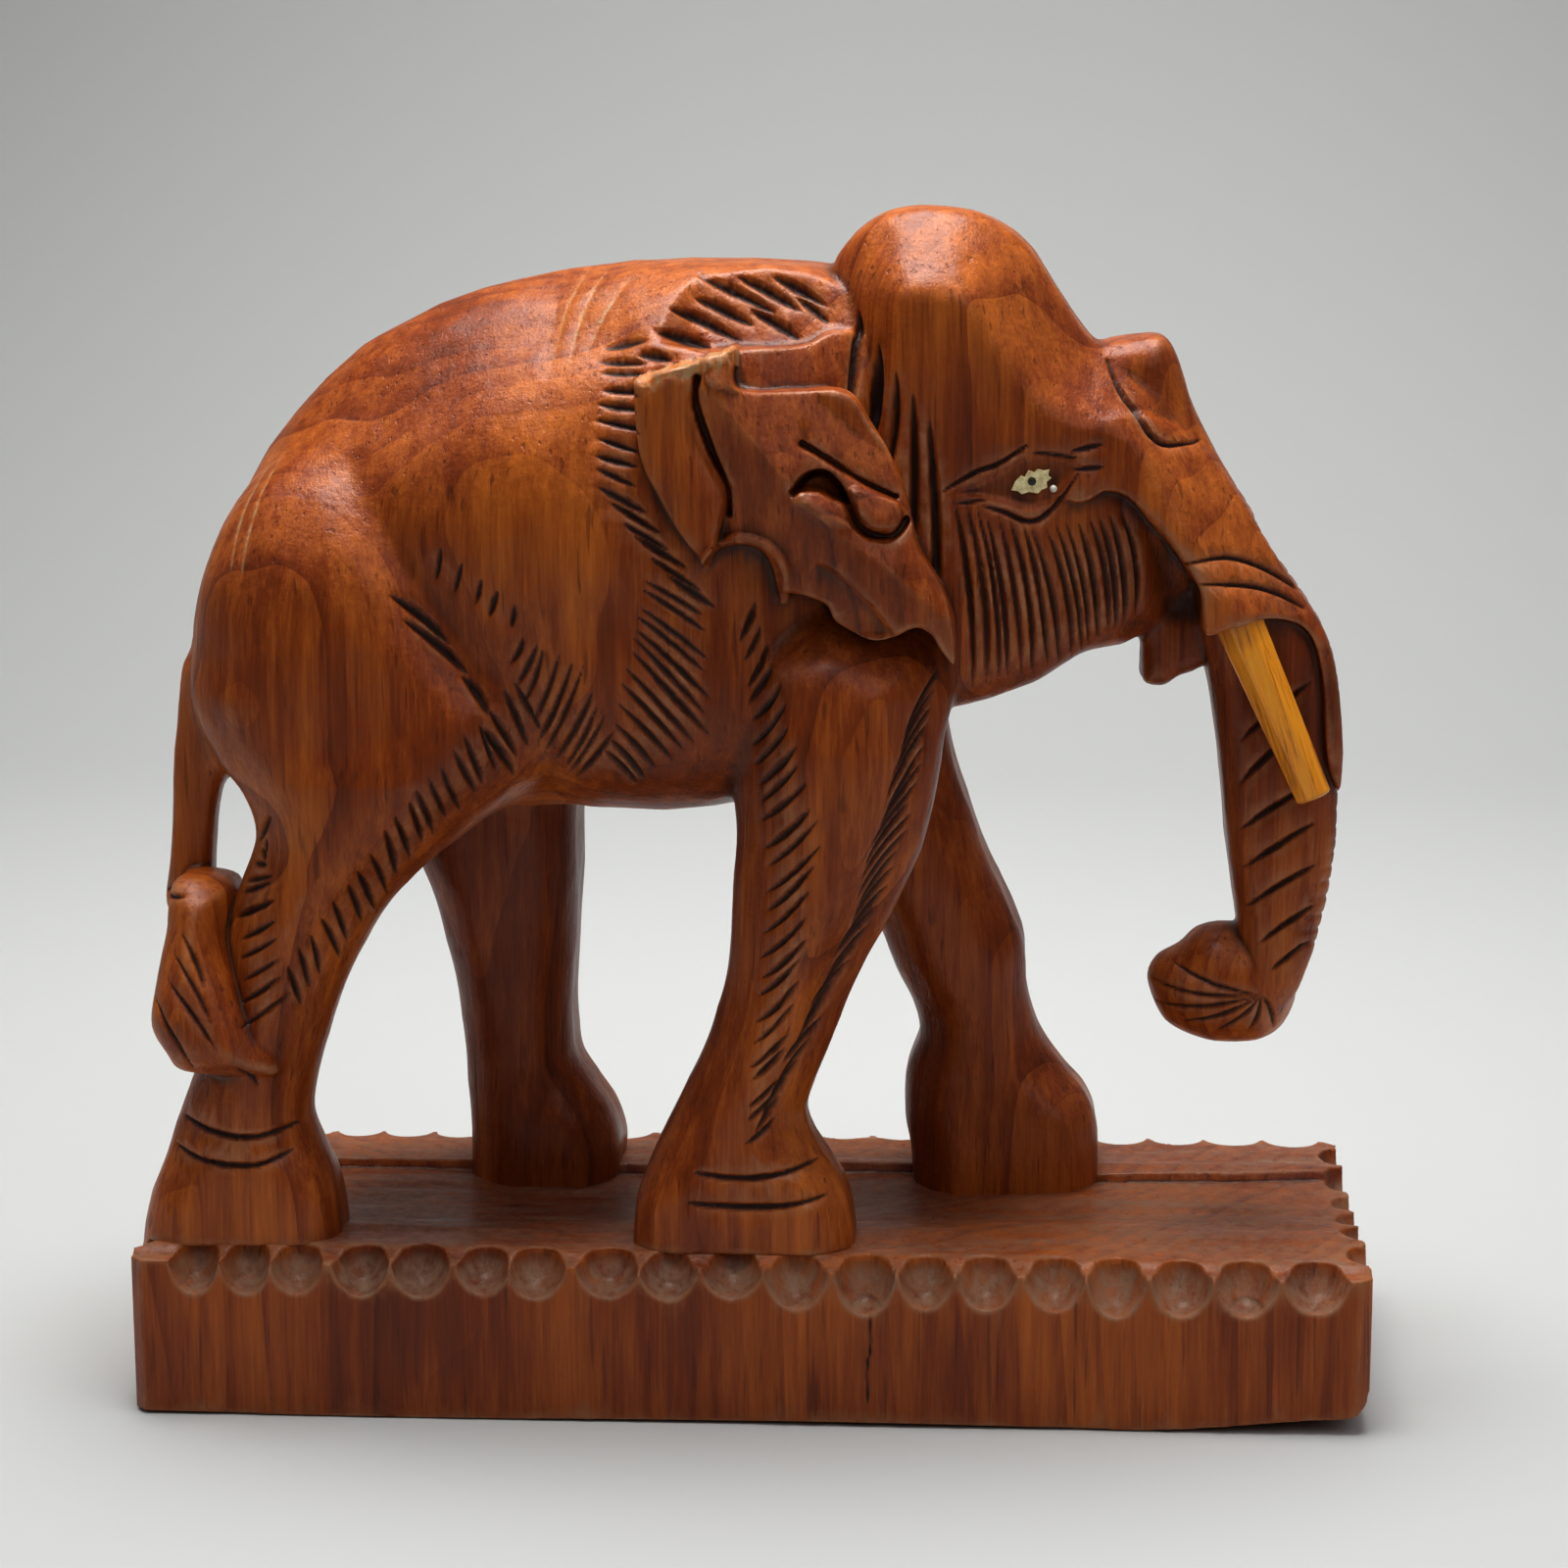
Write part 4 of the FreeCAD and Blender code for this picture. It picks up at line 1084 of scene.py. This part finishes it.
# dust in the scoops and painted light: the mark is kept off the upper part of each scoop, so the scoops are
# paler lower down
scoopDustAndLight *= smoothStep(plinthLook["top"] - points[:, 2], 0.8, 3.2)
proud = np.clip(bulge(points, quads, 14) / 0.25, -1, 1)
hollowed = np.clip(bulge(points, quads, 40) / 0.9, -1, 1)
marks = {"cutStainAndShade": dark, "proud": proud, "hollowed": hollowed, "scooped": scoopDustAndLight}
plinth = makePiece("plinthBlock", points, quads[:, ::-1], marks)
thinOut(plinth, plinthLook["faces"])
plinth.data.materials.append(plinthWood)
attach(plinth, "root")
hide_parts("carved_elephant")

tuskLook = {
    "seat": (60.5, 10.8, 98.5),
    "lean": 24,
    "rootRadius": 3.08,
    "tipRadius": 2.28,
    "shows": 24,
    "hides": 1.6,
    "easing": 0.28,
    "light": (1.0, 0.46, 0.030),
    "middle": (0.98, 0.36, 0.006),
    "dark": (0.30, 0.075, 0.003),
    "endGrain": (0.30, 0.12, 0.02),
    "roughness": 0.34,
    "polish": 0.4,
    "polishRoughness": 0.25,
}


def wallFaces(rings, size):
    # the four-cornered faces between each ring of points and the next
    starts = [(r * size + k, r * size + (k + 1) % size) for r in range(rings - 1) for k in range(size)]
    return [(a, b, b + size, a + size) for a, b in starts]


def whittledTusk(name, side):
    # eight flats run down the peg; each arris is eased and the tip is sliced off
    look = tuskLook
    lean = math.radians(look["lean"])
    out = np.array((math.sin(lean), 0, -math.cos(lean)))
    sideways = np.array((0, 1.0, 0))
    upward = np.cross(out, sideways)
    seat = np.array((look["seat"][0], look["seat"][1] * side, look["seat"][2]))
    rng = np.random.RandomState(40 + side)
    wobble = rng.uniform(-0.09, 0.09, (3, 8))
    shows = look["shows"]
    places = list(np.linspace(-look["hides"], shows - 0.5, 26)) + [shows - 0.12, shows]
    points, along, around = [], [], []
    for place in places:
        share = place / shows
        radius = look["rootRadius"] + (look["tipRadius"] - look["rootRadius"]) * share
        if place > shows - 0.4:
            radius -= 0.28 if place < shows else 0.6
        for k in range(8):
            bend = np.interp(share, (0, 0.5, 1), wobble[:, k])
            for turn in (-look["easing"] / 2, look["easing"] / 2):
                angle = (k + 0.5) * math.pi / 4 + turn * 0.5
                reach = radius * math.cos(look["easing"] / 4) + bend
                slant = 0.18 * math.cos(angle) if place > shows - 0.4 else 0
                across = math.cos(angle) * sideways + math.sin(angle) * upward
                spot = seat + out * (place + slant) + reach * across
                points.append(spot)
                along.append(place)
                around.append(angle * radius)
    ringSize = 16
    quads = wallFaces(len(places), ringSize)
    for r in (0, len(places) - 1):
        centre = len(points)
        points.append(seat + out * places[r])
        along.append(places[r])
        around.append(0)
        for k in range(0, ringSize, 2):
            a = r * ringSize
            face = (a + k, centre, a + (k + 2) % ringSize, a + (k + 1) % ringSize)
            quads.append(face if r == 0 else face[::-1])
    return pointsAndFaces(name, points, quads, {"along": along, "around": around})


def pointsAndFaces(name, points, quads, marks=None):
    marks = {word: np.array(values) for word, values in (marks or {}).items()}
    piece = makePiece(name, np.array(points), np.array(quads), marks)
    piece.data.polygons.foreach_set("use_smooth", np.zeros(len(piece.data.polygons), bool))
    return piece


def tuskMaterial(name):
    look = tuskLook
    n = Nodes(name)
    along, around = n.mark("along"), n.mark("around")
    inPiece = n.add("ShaderNodeSeparateXYZ", None, _0=n.add("ShaderNodeTexCoord").outputs["Object"])
    place = n.add("ShaderNodeCombineXYZ", None, X=n.times(along, 0.05), Y=around, Z=inPiece.outputs["Y"])
    streak = n.noise(place.outputs[0], 1.6, 4.0, 0.6)
    fine = n.noise(place.outputs[0], 7.0, 2.0, 0.6)
    tone = n.plus(n.times(streak, 0.75), n.times(fine, 0.25))
    colour = n.ramp(tone, [(0.34, look["dark"]), (0.47, look["middle"]), (0.66, look["light"])])
    # the tusk is darker over its first 3 mm, towards where it goes into the head
    towardsRootDarker = n.times(n.levels(along, 3.2, -0.2), 0.55)
    colour = n.mix(towardsRootDarker, colour, (*look["dark"], 1))
    colour = n.mix(n.times(n.levels(along, 23.2, 23.9), 0.5), colour, (*look["endGrain"], 1))
    n.feed(n.shader, "Base Color", colour)
    rough = n.levels(fine, 0.3, 0.7, look["roughness"] - 0.05, look["roughness"] + 0.15)
    n.feed(n.shader, "Roughness", rough)
    n.shader.inputs["Coat Weight"].default_value = look["polish"]
    n.shader.inputs["Coat Roughness"].default_value = look["polishRoughness"]
    n.feed(n.shader, "Normal", n.add("ShaderNodeBump", None, Height=fine, Strength=0.35, Distance=0.0003))
    return n.material


eyeLook = {
    "middle": (35.0, 16.4, 116.5),    # middle of the slip's outer face
    "turn": 9,
    "edge": [(-3.0, -1.1), (-2.5, 0.1), (-1.7, 0.9), (-1.2, 0.7), (-0.7, 1.6), (0.1, 1.35), (0.6, 1.75),
             (1.5, 1.55), (2.2, 1.7), (2.0, 0.9), (2.45, 0.5), (1.8, 0.0), (1.9, -0.8), (1.1, -1.1),
             (0.6, -1.6), (-0.6, -1.35), (-1.6, -1.65), (-2.2, -1.2)],
    "thick": 1.7,
    "pupil": (-0.25, 0.1),
    "pupilRadius": 0.6,
    # the white bead is a painted highlight: a white chip beside the eye where the glossy dark filler shows
    # a glint
    "glint": (2.75, -0.95),
    "glintRadius": 0.5,
    "size": 0.9,
    "cream": (0.92, 0.80, 0.46),
    "stain": (0.42, 0.27, 0.07),
    "white": (0.80, 0.78, 0.70),
    "black": (0.012, 0.009, 0.008),
}


def eyePlace(side, across, up, out):
    # a place on the eye's own flat: across towards the trunk, up, and out from the slip's face
    turn = math.radians(eyeLook["turn"])
    x, y, z = eyeLook["middle"]
    across, up = across * eyeLook["size"], up * eyeLook["size"]
    return (x + across * math.cos(turn) + out * math.sin(turn),
            side * (y - across * math.sin(turn) + out * math.cos(turn)), z + up)


def eyeChip(name, side, edge, back, front, dome=0.0):
    # a thin chip with the given edge; its face rises a little to the middle
    n = len(edge)
    middle = np.mean(edge, 0)
    rings = [(1.0, back), (1.0, front - 0.12), (0.95, front), (0.55, front + dome * 0.7)]
    points = []
    for share, out in rings:
        points += [eyePlace(side, *(middle + (np.array(p) - middle) * share), out) for p in edge]
    quads = wallFaces(len(rings), n)
    top = len(points)
    points.append(eyePlace(side, *middle, front + dome))
    points.append(eyePlace(side, *middle, back))
    last = (len(rings) - 1) * n
    for k in range(0, n, 2):
        quads.append((top, last + k, last + (k + 1) % n, last + (k + 2) % n))
        quads.append((top + 1, (k + 2) % n, (k + 1) % n, k))
    if side < 0:
        quads = [q[::-1] for q in quads]
    return pointsAndFaces(name, points, quads)


def roundEdge(middle, radius, count=20):
    turns = [2 * math.pi * k / count for k in range(count)]
    return [(middle[0] - radius * math.cos(t), middle[1] + radius * math.sin(t)) for t in turns]


def eyeMaterial(name, first, second, share, rough, coat):
    n = Nodes(name)
    place = n.add("ShaderNodeTexCoord").outputs["Object"]
    blot = n.noise(place, 1500.0, 4.0, 0.65)
    colour = n.mix(n.times(n.levels(blot, 0.42, 0.66), share), (*first, 1), (*second, 1))
    n.feed(n.shader, "Base Color", colour)
    n.feed(n.shader, "Roughness", n.levels(blot, 0.3, 0.7, rough - 0.08, rough + 0.1))
    n.shader.inputs["Coat Weight"].default_value = coat
    n.feed(n.shader, "Normal", n.add("ShaderNodeBump", None, Height=blot, Strength=0.3, Distance=0.0001))
    return n.material


print("whittling the tusks and setting the eyes")
amberWood = tuskMaterial("amberWood")
creamSlip = eyeMaterial("creamSlip", eyeLook["cream"], eyeLook["stain"], 0.6, 0.4, 0.3)
paintedGlint = eyeMaterial("paintedGlint", eyeLook["white"], eyeLook["cream"], 0.3, 0.3, 0.4)
blackSpot = eyeMaterial("blackSpot", eyeLook["black"], eyeLook["stain"], 0.15, 0.3, 0.6)
for side, word in ((-1, "right"), (1, "left")):
    title = word.capitalize()
    glintEdge = roundEdge(eyeLook["glint"], eyeLook["glintRadius"])
    pupilEdge = roundEdge(eyeLook["pupil"], eyeLook["pupilRadius"])
    pieces = [
        (whittledTusk("tusk" + title, side), "tusk_" + word, "tusk_wood", amberWood),
        (eyeChip("eyeSlip" + title, side, eyeLook["edge"], -eyeLook["thick"], 0.0),
         "eye_inlay_" + word, "eye_slip", creamSlip),
        # painted highlight: a white chip stands for the glint on the dark filler beside the eye
        (eyeChip("eyeGlint" + title, side, glintEdge, -0.8, -0.05, 0.25),
         "eye_inlay_" + word, "eye_slip", paintedGlint),
        (eyeChip("pupil" + title, side, pupilEdge, -1.0, 0.06, 0.06),
         "pupil_" + word, "pupil_dark", blackSpot),
    ]
    for piece, node, slot, material in pieces:
        piece.data.materials.append(material)
        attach(piece, "root")
        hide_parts(node)


room = {
    "paper": (0.51, 0.51, 0.495),
    "half": 1.6,
    "front": -1.6,
    "bendStart": 0.42,
    "bendRadius": 0.30,
    "top": 1.5,
    "lights": [   # name, place, what it points at, size, power, spread in degrees
        ("overheadLight", (-0.02, 0.04, 0.62), (0.0, 0.05, 0.08), 0.36, 2.4, 125),
        ("wallLight", (0.0, 0.22, 0.80), (0.0, 0.60, 0.30), 0.4, 1.25, 100),
        ("frontLight", (0.55, -0.75, 0.75), (0.02, 0, 0.08), 0.7, 1.7, 180),
    ],
    "skyTint": (0.86, 0.9, 0.95),
    "skyUp": (0.0, 0.30, 0.85),   # the sky is brightest this way, and dim towards the viewer
    "skyRange": (0.05, 0.9),
    "skyLeast": 0.07,
    "worldStrength": 0.85,
    "gamma": 0.84,
}


def plainMaterial(name, colour, rough=0.5):
    material = bpy.data.materials.new(name)
    material.use_nodes = True
    shader = material.node_tree.nodes["Principled BSDF"]
    shader.inputs["Base Color"].default_value = (*colour, 1)
    shader.inputs["Roughness"].default_value = rough
    return material


def paperSweep():
    # a pale sheet that lies under the carving and bends up behind it
    bend = room["bendRadius"]
    profile = [(room["front"], 0.0), (room["bendStart"], 0.0)]
    for k in range(1, 17):
        angle = math.pi / 2 * k / 16
        profile.append((room["bendStart"] + bend * math.sin(angle), bend * (1 - math.cos(angle))))
    profile.append((room["bendStart"] + bend, room["top"]))
    corners = [(side * room["half"], y, z - 0.0001) for y, z in profile for side in (-1, 1)]
    sides = [(2 * k, 2 * k + 1, 2 * k + 3, 2 * k + 2) for k in range(len(profile) - 1)]
    sheet = makePiece("paperSweep", np.array(corners) / mm, np.array(sides))
    sheet.data.materials.append(plainMaterial("palePaper", room["paper"], 0.85))
    return sheet


paperSweep()
print("setting the lights")
for name, place, aim, size, power, spread in room["lights"]:
    lamp = bpy.data.lights.new(name, "AREA")
    lamp.shape = "SQUARE"
    lamp.size = size
    lamp.energy = power
    lamp.spread = math.radians(spread)
    holder = bpy.data.objects.new(name, lamp)
    bpy.context.scene.collection.objects.link(holder)
    holder.location = place
    holder.rotation_euler = (Vector(aim) - Vector(place)).to_track_quat("-Z", "Y").to_euler()
world = bpy.data.worlds.new("paleRoom")
bpy.context.scene.world = world
world.use_nodes = True
background = world.node_tree.nodes["Background"]
background.inputs["Color"].default_value = (*room["skyTint"], 1)
towards = world.node_tree.nodes.new("ShaderNodeTexCoord")
steer = world.node_tree.nodes.new("ShaderNodeVectorMath")
steer.operation = "DOT_PRODUCT"
steer.inputs[1].default_value = room["skyUp"]
skySpread = world.node_tree.nodes.new("ShaderNodeMapRange")
skyLevels = (*room["skyRange"], room["skyLeast"], room["worldStrength"])
for socket, value in zip(("From Min", "From Max", "To Min", "To Max"), skyLevels):
    skySpread.inputs[socket].default_value = value
world.node_tree.links.new(towards.outputs["Generated"], steer.inputs[0])
world.node_tree.links.new(steer.outputs["Value"], skySpread.inputs["Value"])
world.node_tree.links.new(skySpread.outputs["Result"], background.inputs["Strength"])
bpy.context.scene.view_settings.view_transform = "Standard"
bpy.context.scene.view_settings.gamma = room["gamma"]

viewpoint = {
    "place": (0.03318, -0.46985, 0.16229),
    "pitch": 10.4,
    "turn": 3.63,
    "roll": -0.2,
    "lens": 85.5,
}
camera = bpy.data.objects.new("viewCamera", bpy.data.cameras.new("viewCamera"))
bpy.context.scene.collection.objects.link(camera)
camera.data.lens = viewpoint["lens"]
camera.data.sensor_width = 36
turned = Matrix.Rotation(math.radians(viewpoint["turn"]), 4, "Z")
tipped = Matrix.Rotation(math.radians(90 - viewpoint["pitch"]), 4, "X")
rolled = Matrix.Rotation(math.radians(viewpoint["roll"]), 4, "Z")
camera.matrix_world = Matrix.Translation(viewpoint["place"]) @ turned @ tipped @ rolled
bpy.context.scene.camera = camera
